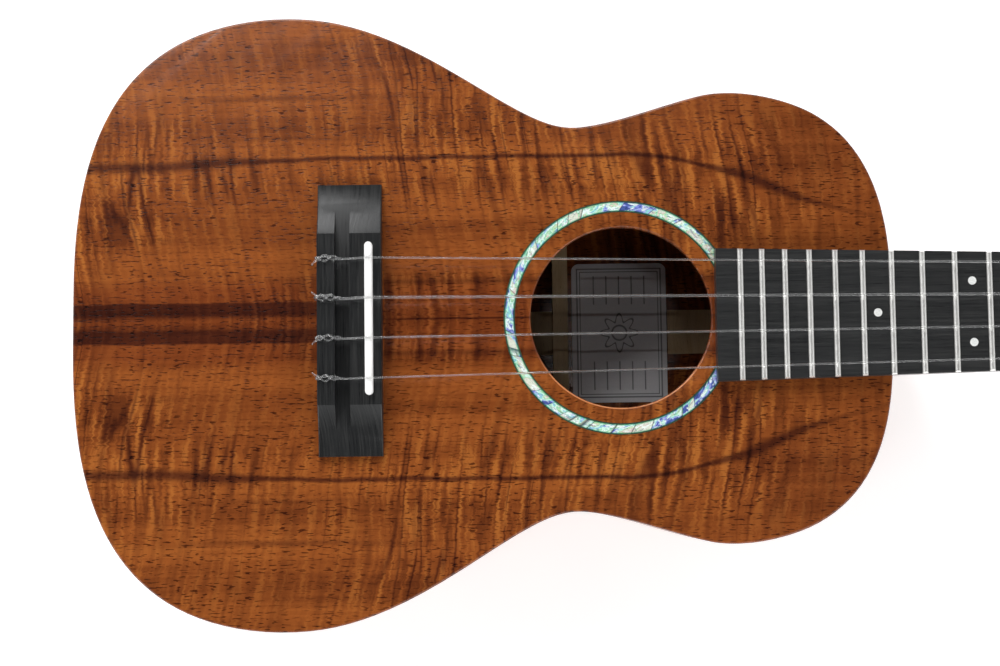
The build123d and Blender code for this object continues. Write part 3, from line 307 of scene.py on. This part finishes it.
def koa_figure(r, along, across, seed, plain=None):
    """Koa's colour from places along and across the grain: grain, cross-grain curl and pores."""
    here = (along, across)
    broad = r.noise(here, BROAD_PITCH, seed, 3, 0.55)
    fine = r.noise(here, FINE_PITCH, seed + 3.1, 4, 0.6)
    colour = r.ramp(r.add(r.times(broad, BROAD_SHARE), r.times(fine, FINE_SHARE)), KOA_STOPS)

    warp = r.noise(here, WARP_PITCH, seed + 7.7, 1)
    leaning = r.add(along, r.add(r.times(across, LEAN), r.times(warp, WARP_LENGTH)))
    strips = r.noise(here, STRIP_PITCH, seed + 15.2, 1)
    woven = r.add(leaning, r.times(r.add(strips, -0.5), STRIP_SHIFT))
    patch = r.step(r.noise(here, CURL_PATCH_PITCH, seed + 23.5), *CURL_PATCH_STEP)
    if plain is not None:
        patch = r.times(patch, plain)

    curl = 0.0
    for turn, (pitches, half, strength) in enumerate(CURL_LINES):
        shifted = r.add(leaning, r.times(strips, LINE_SHIFT))
        value = r.noise((shifted, across), pitches, seed + 11.3 + 6.1 * turn, 1)
        broken = r.noise((leaning, across), BREAK_PITCH, seed + 41.0 + turn)
        lines = r.times(r.band(value, 0.5, half), r.step(broken, *BREAK_STEP, strength))
        curl = r.math("MAXIMUM", curl, lines)
    wave = r.noise((woven, across), WAVE_PITCH, seed + 51.0)
    glow = r.times(r.step(wave, *GLOW_STEP), r.times(patch, GLOW_SHARE))
    colour = r.mix(glow, colour, KOA_GLOW)
    dim = r.times(r.step(wave, *DIM_STEP), r.times(patch, DIM_SHARE))
    colour = r.darken(colour, dim, KOA_DARK)
    colour = r.darken(colour, r.times(curl, patch), KOA_DARK)

    pores = r.step(r.noise(here, PORE_PITCH, seed + 31.1, 1), *PORE_STEP)
    pore_patch = r.step(r.noise(here, PORE_PATCH_PITCH, seed + 37.3), *PORE_PATCH_STEP)
    pore = r.times(pores, pore_patch)
    return r.darken(colour, pore, KOA_PORE), pore


def lacquer(r, colour, pore):
    r.bump(pore, -0.05, 0.35)
    return r.finish(colour, 0.24, specular=0.28, coat=0.22, coat_roughness=0.05)


# Marks on the soundboard and the back, in mm: along X, and out from where the halves mirror.
MIRROR_Y = 1.0
PLAIN_OUT_STEP, PLAIN_IN_STEP = (34, 56, 1.0, 0.0), (12, 20)
PLAIN_X, PLAIN_HALF, PLAIN_CURL = 20, 125, 0.30
WOBBLE_PITCH, WOBBLE = 0.03, 4.0
# the long streak runs level along the lower bout and turns in towards the neck
STREAK_Y, STREAK_RISE_STEP, STREAK_TURN_STEP = 59.6, (-110, 0, -1.6, 1.0), (100, 200, 0.0, -26.0)
STREAK_WIDTH_STEP, STREAK_BULGE = (-60, -35, 2.4, 1.1), (146, 26, 1.7)
RAGGED_PITCH, RAGGED_LEAST, RAGGED_MORE = (0.30, 0.05), 0.7, 0.6
STREAK_EDGE_STEP, STREAK_END_STEP = (0.15, 1.4, 1.0, 0.0), (150, 185, 0.95, 0.35)
STREAK_SHARE = 0.90
# fainter streaks: how far out, half width, strength, and from where to where
FAINT_STREAKS = ((68.5, 1.5, 0.40, -70, 0), (84.0, 1.8, 0.5, -90, 20))
FAINT_WOBBLE, FAINT_FADE = 1.6, 1.5
ABOVE_BAND, ABOVE_STEP = (88, 16), (-60, 40, 0.0, 0.35)
# dark heartwood bands either side of the centre, and the red wood beside them
HEART_Y = -0.5
UNEVEN_PITCH, UNEVEN = 0.04, 1.8
HEART_IN_STEP, HEART_OUT_STEP = (0.8, 3.4), (7.2, 8.2, 1.0, 0.0)
BEHIND_BRIDGE_STEP, HEART_SHARE = (-30, 0, 1.0, 0.0), 0.88
RED_STEP, RED_SHARE = (12, 19, 1.0, 0.0), 0.62
SEAM_BAND, SEAM_STEP = (0.4, 0.7), (-5, 15, 0.0, 0.8)
AHEAD_BAND, AHEAD_STEP = (13.5, 2.2), (-10, 10, 0.0, 0.55)
SHADE_STEP, SHADE_BAND, SHADE_SHARE = (115, 160), (60, 30), 0.6
# a painted highlight along the soundhole's rounded edge on the treble side, and painted shade on
# the lower part of the soundboard's edges
HIGHLIGHT_OFFSET, HIGHLIGHT_HALF, HIGHLIGHT_STEP = 0.35, 0.45, (-26, -12, 0.9, 0.0)
EDGE_SHADE_LOW, EDGE_SHADE_HIGH, EDGE_SHADE_SHARE = 0.75, 0.2, 0.8


def dark_streaks(r, x, y, out, seed):
    """How strongly each place takes part in the long streak or in a fainter one."""
    wobble = r.add(r.noise((x, 0.0), (WOBBLE_PITCH, 1.0), seed + 2.0), -0.5)
    wobble = r.times(wobble, WOBBLE)
    line = r.add(r.add(STREAK_Y, r.step(x, *STREAK_RISE_STEP)), wobble)
    line = r.add(line, r.step(x, *STREAK_TURN_STEP))
    bulge_x, bulge_half, bulge = STREAK_BULGE
    width = r.add(r.step(x, *STREAK_WIDTH_STEP), r.times(r.band(x, bulge_x, bulge_half), bulge))
    ragged = r.add(RAGGED_LEAST, r.times(r.noise((x, y), RAGGED_PITCH, seed), RAGGED_MORE))
    away = r.size_of(r.subtract(out, line))
    streak = r.step(r.math("DIVIDE", away, r.times(width, ragged)), *STREAK_EDGE_STEP)
    streak = r.times(streak, r.step(x, *STREAK_END_STEP))
    for place, half, strength, from_x, to_x in FAINT_STREAKS:
        faint = r.band(r.add(out, r.times(wobble, FAINT_WOBBLE)), place, half)
        extent = r.band(x, (from_x + to_x) / 2, (to_x - from_x) / FAINT_FADE)
        streak = r.math("MAXIMUM", streak, r.times(r.times(faint, extent), strength))
    return streak


def koa_plate(name, seed, front):
    """Two bookmatched koa halves, with streaks beside the centre and further out."""
    r = Recipe(name)
    x, y, z = r.millimetres()
    out = r.size_of(r.add(y, -MIRROR_Y))
    plain_zone = r.times(r.step(out, *PLAIN_OUT_STEP), r.step(out, *PLAIN_IN_STEP))
    plain_zone = r.times(plain_zone, r.band(x, PLAIN_X, PLAIN_HALF))
    plain = r.step(plain_zone, 0.0, 1.0, 1.0, PLAIN_CURL)
    colour, pore = koa_figure(r, x, out, seed, plain)

    above = r.times(r.band(out, *ABOVE_BAND), r.step(x, *ABOVE_STEP))
    colour = r.darken(colour, above, KOA_ABOVE)
    streaks = dark_streaks(r, x, y, out, seed)
    colour = r.darken(colour, r.times(streaks, STREAK_SHARE), KOA_STREAK)

    uneven = r.add(r.noise((x, 3.0), (UNEVEN_PITCH, 1.0), seed + 5.0, 3), -0.5)
    from_heart = r.add(r.size_of(r.add(y, -HEART_Y)), r.times(uneven, UNEVEN))
    heart = r.times(r.step(from_heart, *HEART_IN_STEP), r.step(from_heart, *HEART_OUT_STEP))
    heart = r.times(heart, r.times(r.step(x, *BEHIND_BRIDGE_STEP), HEART_SHARE))
    colour = r.darken(colour, heart, KOA_HEART)
    colour = r.darken(colour, r.times(r.step(from_heart, *RED_STEP), RED_SHARE), KOA_RED)
    seam = r.times(r.band(y, *SEAM_BAND), r.step(x, *SEAM_STEP))
    colour = r.darken(colour, seam, KOA_STREAK)
    if front:
        # painted highlight: a bright orange line along the soundhole's rounded edge on the treble
        # side
        edge = r.band(r.length(r.add(x, -HOLE_X), y), HOLE_RADIUS + HIGHLIGHT_OFFSET, HIGHLIGHT_HALF)
        colour = r.mix(r.times(edge, r.step(y, *HIGHLIGHT_STEP)), colour, KOA_RIM_HIGHLIGHT)
    ahead = r.times(r.band(out, *AHEAD_BAND), r.step(x, *AHEAD_STEP))
    colour = r.darken(colour, ahead, KOA_STREAK)
    shade = r.times(r.step(x, *SHADE_STEP), r.band(out, *SHADE_BAND))
    colour = r.darken(colour, r.times(shade, SHADE_SHARE), KOA_SHADE)
    if front:
        # painted shade: the soundboard darkens below its top face, along its rounded edges
        edge_shade = r.step(z, TOP_Z - EDGE_SHADE_LOW, TOP_Z - EDGE_SHADE_HIGH, 1.0, 0.0)
        colour = r.darken(colour, r.times(edge_shade, EDGE_SHADE_SHARE), KOA_EDGE_SHADE)
    return lacquer(r, colour, pore)


RIM_CENTRE_X, RIM_REACH = 60.0, 150.0


def koa_side(name, seed):
    """Bent koa: the grain follows the rim and the curl stands upright."""
    r = Recipe(name)
    x, y, z = r.millimetres()
    angle = r.math("ARCTAN2", r.size_of(y), r.add(x, -RIM_CENTRE_X))
    colour, pore = koa_figure(r, r.times(angle, RIM_REACH), z, seed)
    return lacquer(r, colour, pore)


MAHOGANY_STOPS = (
    (0.25, (0.085, 0.030, 0.014)),
    (0.50, (0.150, 0.058, 0.026)),
    (0.75, (0.230, 0.096, 0.044)),
)
SPRUCE_STOPS = (
    (0.25, (0.42, 0.27, 0.13)),
    (0.50, (0.56, 0.40, 0.22)),
    (0.75, (0.66, 0.51, 0.31)),
)
PLAIN_PORE = (0.45, 0.38, 0.34, 1)
PLAIN_BROAD_PITCH, PLAIN_GRAIN_PITCH, PLAIN_PORE_PITCH = (0.008, 0.22), (0.03, 1.6), (0.35, 3.0)
PLAIN_PORE_STEP, PLAIN_PORE_SHARE = (0.28, 0.40, 1.0, 0.0), 0.6
DEPTH_SHARE, GLOSS_SPREAD = 0.8, 0.08


def straight_wood(name, stops, seed, along_axis="x", roughness=0.6, coat=0.0):
    """Plain wood with straight grain along one axis."""
    r = Recipe(name)
    x, y, z = r.millimetres()
    along, side = (x, y) if along_axis == "x" else (y, x)
    here = (along, r.add(side, r.times(z, DEPTH_SHARE)))
    broad = r.noise(here, PLAIN_BROAD_PITCH, seed, 3, 0.55)
    grain = r.noise(here, PLAIN_GRAIN_PITCH, seed + 5.0, 4, 0.65)
    colour = r.ramp(r.add(r.times(broad, 0.5), r.times(grain, 0.5)), stops)
    pores = r.step(r.noise(here, PLAIN_PORE_PITCH, seed + 9.0), *PLAIN_PORE_STEP)
    colour = r.darken(colour, r.times(pores, PLAIN_PORE_SHARE), PLAIN_PORE)
    rough = r.step(grain, 0.3, 0.7, roughness - GLOSS_SPREAD, roughness + GLOSS_SPREAD)
    r.bump(grain, 0.04, 0.4)
    return r.finish(colour, rough, coat=coat, coat_roughness=0.1)


EBONY_STOPS = (
    (0.30, (0.005, 0.0055, 0.006)),
    (0.50, (0.012, 0.0125, 0.013)),
    (0.68, (0.028, 0.028, 0.027)),
)
EBONY_STREAK_PITCH, EBONY_FINE_PITCH = (0.03, 1.1), (0.12, 5.0)
EBONY_STREAK_SHARE, EBONY_FINE_SHARE, EBONY_DEPTH_SHARE = 0.6, 0.4, 0.6
EBONY_GLOSS_STEP = (0.35, 0.65, 0.26, 0.42)


def ebony(name, along_axis, seed, lift):
    """Nearly black wood, lighter by lift, streaked along the grain, with a brushed sheen."""
    r = Recipe(name)
    x, y, z = r.millimetres()
    along, side = (x, y) if along_axis == "x" else (y, x)
    here = (along, r.add(side, r.times(z, EBONY_DEPTH_SHARE)))
    streaks = r.noise(here, EBONY_STREAK_PITCH, seed, 4, 0.65)
    fine = r.noise(here, EBONY_FINE_PITCH, seed + 4.0, 3, 0.6)
    both = r.add(r.times(streaks, EBONY_STREAK_SHARE), r.times(fine, EBONY_FINE_SHARE))
    stops = [(place, [part + lift for part in colour]) for place, colour in EBONY_STOPS]
    r.bump(both, 0.05, 0.5)
    return r.finish(r.ramp(both, stops), r.step(both, *EBONY_GLOSS_STEP), specular=0.38)


# ---------------------------------------------------------------- shell, bone, metal and the rest
SHELL_GAP = (0.06, 0.09, 0.09, 1)
SHELL_SHADOW = (0.30, 0.34, 0.50, 1)
SHELL_SHINE = (0.86, 0.95, 0.90, 1)
SHELL_RIM = (0.16, 0.52, 0.30, 1)
SHELL_STOPS = (
    (0.05, (0.050, 0.090, 0.34)),
    (0.17, (0.16, 0.21, 0.66)),
    (0.27, (0.42, 0.44, 0.82)),
    (0.37, (0.22, 0.56, 0.66)),
    (0.47, (0.36, 0.80, 0.66)),
    (0.57, (0.78, 0.93, 0.82)),
    (0.66, (0.22, 0.62, 0.40)),
    (0.75, (0.52, 0.76, 0.44)),
    (0.85, (0.72, 0.50, 0.50)),
    (0.96, (0.70, 0.74, 0.62)),
)
PIECES_PER_MM, PIECE_SLANT, PIECE_SPREAD = 0.085, 0.7, 0.95
SWIRL_PITCH, SWIRL_RANGE = (0.13, 0.24), 2.9
PIECE_HUE_RANGE, LEAST_HUE = 0.70, 0.20
SHINE_PITCH, SHINE_STEP = (0.26, 0.40), (0.52, 0.60, 0.0, 0.9)
SHADOW_PITCH, SHADOW_STEP = (0.28, 0.6), (0.36, 0.44, 0.75, 0.0)
VEIN_PITCH, VEIN_BAND, VEIN_SHARE = (0.40, 0.9), (0.46, 0.018), 0.85
JOINT_STEP, OPEN_JOINT_STEP = (0.0, 0.03, 1.0, 0.0), (0.45, 0.5, 0.0, 0.9)
SHELL_RIM_STEP = (1.1, 1.6, 0.0, 0.9)


def abalone(name):
    """Pieces of shell laid end to end, each with its own flow of blue, violet, green and cream."""
    r = Recipe(name)
    x, y, z = r.millimetres()
    out = r.add(x, -HOLE_X)
    around = r.times(r.math("ARCTAN2", y, out), RING_RADIUS)
    radius = r.length(out, y)
    slanted = r.add(around, r.times(radius, PIECE_SLANT))
    row = {
        "Vector": r.vector(r.times(slanted, PIECES_PER_MM), 0.0, 0.0),
        "Scale": 1.0,
        "Randomness": PIECE_SPREAD,
    }
    cell = r.node("ShaderNodeTexVoronoi", row)
    edge = r.node("ShaderNodeTexVoronoi", row, feature="DISTANCE_TO_EDGE")
    piece = r.node("ShaderNodeSeparateColor", {0: cell.outputs["Color"]}).outputs
    shift = r.times(piece[0], 31.0)
    here = (slanted, radius)

    swirl = r.noise(here, SWIRL_PITCH, shift, 2, 0.5, 1.2)
    own_hue = r.add(r.times(piece[1], PIECE_HUE_RANGE), LEAST_HUE)
    colour = r.ramp(r.add(r.times(r.add(swirl, -0.5), SWIRL_RANGE), own_hue), SHELL_STOPS)
    shine = r.noise(here, SHINE_PITCH, r.add(shift, 7.0), 3, 0.6, 1.0)
    colour = r.mix(r.step(shine, *SHINE_STEP), colour, SHELL_SHINE)
    shadow = r.noise(here, SHADOW_PITCH, r.add(shift, 13.0), 3, 0.6, 1.5)
    colour = r.darken(colour, r.step(shadow, *SHADOW_STEP), SHELL_SHADOW)
    veins = r.noise((around, radius), VEIN_PITCH, r.add(shift, 3.0), 3, 0.6, 2.0)
    colour = r.darken(colour, r.times(r.band(veins, *VEIN_BAND), VEIN_SHARE), SHELL_GAP)
    joint = r.times(r.step(edge.outputs[0], *JOINT_STEP), r.step(piece[2], *OPEN_JOINT_STEP))
    colour = r.darken(colour, joint, SHELL_GAP)
    off_middle = r.size_of(r.subtract(radius, SHELL_MIDDLE))
    colour = r.darken(colour, r.step(off_middle, *SHELL_RIM_STEP), SHELL_RIM)
    return r.finish(colour, 0.5, coat=0.4, coat_roughness=0.05)


MOTTLE_LOW, MOTTLE_HIGH, MOTTLE_GLOSS = 0.3, 0.7, 0.06


def mottled(name, first, second, pitch, roughness, **fixed):
    """A nearly even finish with soft mottling in colour and gloss."""
    r = Recipe(name)
    x, y, z = r.millimetres()
    cloud = r.noise((x, y), (pitch, pitch), r.times(z, pitch), 4, 0.6)
    colour = r.mix(r.step(cloud, MOTTLE_LOW, MOTTLE_HIGH), (*first, 1), (*second, 1))
    smoother, rougher = roughness - MOTTLE_GLOSS, roughness + MOTTLE_GLOSS
    return r.finish(colour, r.step(cloud, MOTTLE_LOW, MOTTLE_HIGH, smoother, rougher), **fixed)


# The label's drawing, in mm: a line's place from its edge and its half width.
LABEL_BORDERS = ((2.2, 0.5), (3.4, 0.3))
RULE_PITCH, RULE_HALF = 2.6, 0.45
RULE_INSET_STEP, RULE_GAP_STEP = (5.0, 5.3), (11.5, 12.0)
FLOWER_RADIUS, FLOWER_WAVE, FLOWER_PETALS, FLOWER_HALF = 6.2, 1.6, 8.0, 0.7
FLOWER_EYE, FLOWER_EYE_HALF = 3.0, 0.6
PAPER_PITCH, INK_SHARE = 1.2, 0.85
PAPER_DARK, PAPER_LIGHT = (0.82, 0.81, 0.83, 1), (0.92, 0.91, 0.94, 1)
INK = (0.05, 0.05, 0.06, 1)


def label_paper(name):
    """Pale paper with a border, ruled lines and a small round ornament, and no lettering."""
    r = Recipe(name)
    x, y, z = r.millimetres()
    from_middle = r.add(x, -LABEL_X)
    across, along = r.size_of(from_middle), r.size_of(y)
    fibre = r.noise((x, y), (PAPER_PITCH, PAPER_PITCH), 3.0, 4, 0.6)
    blank = r.mix(fibre, PAPER_DARK, PAPER_LIGHT)
    inset = r.math("MINIMUM", r.subtract(LABEL_HALF_X, across), r.subtract(LABEL_HALF_Y, along))
    border = r.math("MAXIMUM", *(r.band(inset, *line) for line in LABEL_BORDERS))
    ruled = r.times(r.step(inset, *RULE_INSET_STEP), r.step(along, *RULE_GAP_STEP))
    rules = r.times(r.band(r.math("PINGPONG", from_middle, RULE_PITCH), 0.0, RULE_HALF), ruled)
    turn = r.math("ARCTAN2", y, from_middle)
    wave = r.times(r.math("COSINE", r.times(turn, FLOWER_PETALS)), FLOWER_WAVE)
    distance = r.length(across, along)
    flower = r.band(distance, r.add(FLOWER_RADIUS, wave), FLOWER_HALF)
    flower = r.math("MAXIMUM", flower, r.band(distance, FLOWER_EYE, FLOWER_EYE_HALF))
    ink = r.math("MAXIMUM", r.math("MAXIMUM", border, rules), flower)
    return r.finish(r.mix(r.times(ink, INK_SHARE), blank, INK), 0.5)


STRING_PITCH = 0.02
STRING_DARK, STRING_LIGHT = (0.93, 0.93, 0.93, 1), (0.99, 0.99, 0.98, 1)


def clear_string(name):
    """Clear plastic line, slightly cloudy along its length."""
    r = Recipe(name)
    x, y, z = r.millimetres()
    cloud = r.noise((x, 0.0), (STRING_PITCH, 1.0), 0.0, 1)
    colour = r.mix(cloud, STRING_DARK, STRING_LIGHT)
    return r.finish(colour, 0.12, transmission=0.95, ior=1.42, specular=0.6)


# ---------------------------------------------------------------- the materials
koa_top = koa_plate("koa_top", 4.0, True)
koa_back = koa_plate("koa_back", 21.0, False)
koa_rim = koa_side("koa_rim", 13.0)
mahogany_neck = straight_wood("mahogany_neck", MAHOGANY_STOPS, 2.0, roughness=0.38, coat=0.25)
mahogany_inside = straight_wood("mahogany_inside", MAHOGANY_STOPS, 6.0, along_axis="y")
spruce_strip = straight_wood("spruce_strip", SPRUCE_STOPS, 8.0, along_axis="y")
spruce_brace = straight_wood("spruce_brace", SPRUCE_STOPS, 9.0, along_axis="y")
spruce_fan = straight_wood("spruce_fan", SPRUCE_STOPS, 10.0)
ebony_board = ebony("ebony_board", "x", 3.0, 0.010)
ebony_bridge = ebony("ebony_bridge", "y", 5.0, 0.003)
shell = abalone("abalone")
bone = mottled("bone", (0.95, 0.95, 0.93), (0.99, 0.99, 0.98), 0.3, 0.34, coat=0.2)
pearl = mottled("pearl", (0.74, 0.76, 0.74), (0.88, 0.88, 0.86), 2.2, 0.25, coat=0.4)
dark_line = mottled("dark_line", (0.010, 0.035, 0.020), (0.030, 0.075, 0.045), 1.5, 0.35)
nickel_silver = mottled(
    "nickel_silver", (0.80, 0.79, 0.76), (0.88, 0.87, 0.84), 1.8, 0.36, metallic=0.75
)
nickel = mottled("nickel", (0.70, 0.70, 0.71), (0.80, 0.80, 0.80), 0.9, 0.20, metallic=1.0)
zinc = mottled("zinc", (0.48, 0.48, 0.50), (0.60, 0.60, 0.61), 1.2, 0.35, metallic=1.0)
brass = mottled("brass", (0.62, 0.44, 0.17), (0.74, 0.55, 0.24), 1.1, 0.30, metallic=1.0)
black_button = mottled(
    "black_button", (0.010, 0.010, 0.011), (0.022, 0.022, 0.023), 0.5, 0.22, coat=0.5
)
paper = label_paper("label_paper")
string_clear = clear_string("clear_string")

# a key that ends in _ stands for every node whose name starts with it
MATERIALS = {
    "soundboard": koa_top,
    "back_plate": koa_back,
    "rib_": koa_rim,
    "head_plate": koa_back,
    "neck": mahogany_neck,
    "heel_cap": ebony_board,
    "neck_block": mahogany_inside,
    "tail_block": mahogany_inside,
    "top_linings": mahogany_inside,
    "back_linings": mahogany_inside,
    "back_centre_strips": spruce_strip,
    "upper_top_brace": spruce_brace,
    "lower_top_brace": spruce_brace,
    "back_braces": spruce_brace,
    "bridge_plate": spruce_brace,
    "fan_braces": spruce_fan,
    "fretboard": ebony_board,
    "bridge": ebony_bridge,
    "rosette": shell,
    "rosette_lines": dark_line,
    "saddle": bone,
    "nut": bone,
    "position_dots": pearl,
    "side_dots": pearl,
    "frets": nickel_silver,
    "neck_bolt": zinc,
    "neck_insert": brass,
    "label": paper,
    "string_": string_clear,
    "tuner_gear_": brass,
    "tuner_button_": black_button,
    "tuner_": nickel,
    "post_bushings": nickel,
    "plate_screws": nickel,
}


def material_for(node):
    """The material whose key is the longest match with the node's name."""
    keys = [key for key in MATERIALS if node == key or (key[-1] == "_" and node.startswith(key))]
    return MATERIALS[max(keys, key=len)]


# ---------------------------------------------------------------- smooth shading
SMOOTH_ANGLE = math.radians(28)
WELD_DISTANCE = 0.002 * MM


def smooth_by_angle():
    """Geometry nodes that weld split corners and shade smoothly where faces meet gently."""
    group = bpy.data.node_groups.new("smooth_by_angle", "GeometryNodeTree")
    group.interface.new_socket("Geometry", in_out="INPUT", socket_type="NodeSocketGeometry")
    group.interface.new_socket("Geometry", in_out="OUTPUT", socket_type="NodeSocketGeometry")
    add, join = group.nodes.new, group.links.new
    weld = add("GeometryNodeMergeByDistance")
    weld.inputs["Distance"].default_value = WELD_DISTANCE
    faces = add("GeometryNodeSetShadeSmooth")
    faces.domain = "FACE"
    edges = add("GeometryNodeSetShadeSmooth")
    edges.domain = "EDGE"
    gentle = add("FunctionNodeCompare")
    gentle.operation = "LESS_THAN"
    gentle.inputs["B"].default_value = SMOOTH_ANGLE
    join(add("NodeGroupInput").outputs[0], weld.inputs["Geometry"])
    join(weld.outputs[0], faces.inputs["Geometry"])
    join(faces.outputs[0], edges.inputs["Geometry"])
    join(add("GeometryNodeInputMeshEdgeAngle").outputs[0], gentle.inputs["A"])
    join(gentle.outputs[0], edges.inputs["Shade Smooth"])
    join(edges.outputs[0], add("NodeGroupOutput").inputs[0])
    return group


smoothing = smooth_by_angle()
for node, thing in nodes_of.items():
    thing.data.materials.clear()
    thing.data.materials.append(material_for(node))
    thing.modifiers.new("smooth", "NODES").node_group = smoothing

# ---------------------------------------------------------------- string knots at the bridge
KNOT_TWISTS = 2.5
KNOT_START, KNOT_REACH = -0.25, 9.2
KNOT_WIDTH, KNOT_RISE = 2.3, 0.8
KNOT_STEPS = 30
KNOT_FILL, KNOT_FILL_SHARE = 1.25, 0.45
KNOT_DROP_FROM, KNOT_DROP = 0.74, 2.2
KNOT_FIRST_TURN, KNOT_NEXT_TURN = 0.15, 0.31
THREAD_THICKNESS = 0.66
THREAD_CORNERS, THREAD_STEPS = 3, 3
BACK_ZONE = 0.3
# the cut end: how far ahead of the bridge's back edge, how far sideways and how far up
TAIL_PATH = ((1.1, 0.5, 0.3), (-0.4, 0.9, 0.2), (-1.1, 1.5, -0.8), (-1.8, 2.1, -2.2))


def string_spot(name):
    """A string's place across the bridge, and the height of its loop over the tie block."""
    thread = nodes_of[f"string_{name}"].data
    back = [v.co for v in thread.vertices if v.co.x < (TIE_BACK + BACK_ZONE) * MM]
    sides = [co.y for co in back]
    return (min(sides) + max(sides)) / 2 / MM, max(co.z for co in back) / MM


def knot_points(middle_y, top_z, phase):
    """One strand of a knot, in mm: it winds along the tie block and meets its partner."""
    points = []
    for step in range(KNOT_STEPS + 1):
        share = step / KNOT_STEPS
        fill = math.sin(math.pi * min(share * KNOT_FILL, 1.0) ** 0.8)
        taper = math.sin(math.pi * share) ** 0.5
        swell = KNOT_FILL_SHARE * fill + (1 - KNOT_FILL_SHARE) * taper
        angle = phase + math.pi * KNOT_TWISTS * share
        past = max(share - KNOT_DROP_FROM, 0.0) / (1 - KNOT_DROP_FROM)
        x = TIE_BACK + KNOT_START + KNOT_REACH * share
        y = middle_y + KNOT_WIDTH / 2 * swell * math.cos(angle)
        z = top_z + KNOT_RISE / 2 * (1 + swell * math.sin(angle)) - KNOT_RISE * KNOT_DROP * past
        points.append((x, y, z))
    return points


def make_thread(name, lines):
    """A piece of clear string that follows one or more lists of points in mm."""
    curve = bpy.data.curves.new(name, "CURVE")
    curve.dimensions = "3D"
    curve.bevel_depth = THREAD_THICKNESS / 2 * MM
    curve.bevel_resolution = THREAD_CORNERS
    curve.use_fill_caps = True
    for points in lines:
        spline = curve.splines.new("NURBS")
        spline.points.add(len(points) - 1)
        for point, place in zip(spline.points, points):
            point.co = (*(part * MM for part in place), 1)
        spline.order_u = 4
        spline.use_endpoint_u = True
        spline.resolution_u = THREAD_STEPS
    thread = bpy.data.objects.new(name, curve)
    thread.data.materials.append(string_clear)
    bpy.context.scene.collection.objects.link(thread)
    return thread


for index, name in enumerate(STRINGS):
    middle_y, top_z = string_spot(name)
    first = math.pi * (KNOT_FIRST_TURN + KNOT_NEXT_TURN * index)
    strands = [knot_points(middle_y, top_z, phase) for phase in (first, first + math.pi)]
    side = 1 if index % 2 else -1
    tail = [
        (TIE_BACK + ahead, middle_y + sideways * side, top_z + up)
        for ahead, sideways, up in TAIL_PATH
    ]
    knot = make_thread(f"string_knot_{name}", strands + [tail])
    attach(knot, "instrument")

# ---------------------------------------------------------------- floor
FLOOR_REACH, FLOOR_DROP = 6.0, 0.0002
FLOOR_GLOW = 0.42

floor_mesh = bpy.data.meshes.new("floor")
corners = [(-1, -1), (1, -1), (1, 1), (-1, 1)]
floor_mesh.from_pydata(
    [(x * FLOOR_REACH, y * FLOOR_REACH, 0) for x, y in corners], [], [(0, 1, 2, 3)]
)
floor = bpy.data.objects.new("floor", floor_mesh)
floor.location.z = -FLOOR_DROP
floor_white = mottled(
    "floor_white",
    (0.90, 0.90, 0.91),
    (0.93, 0.93, 0.93),
    0.01,
    0.8,
    glow_colour=(1, 1, 1, 1),
    glow=FLOOR_GLOW,
)
floor.data.materials.append(floor_white)
bpy.context.scene.collection.objects.link(floor)
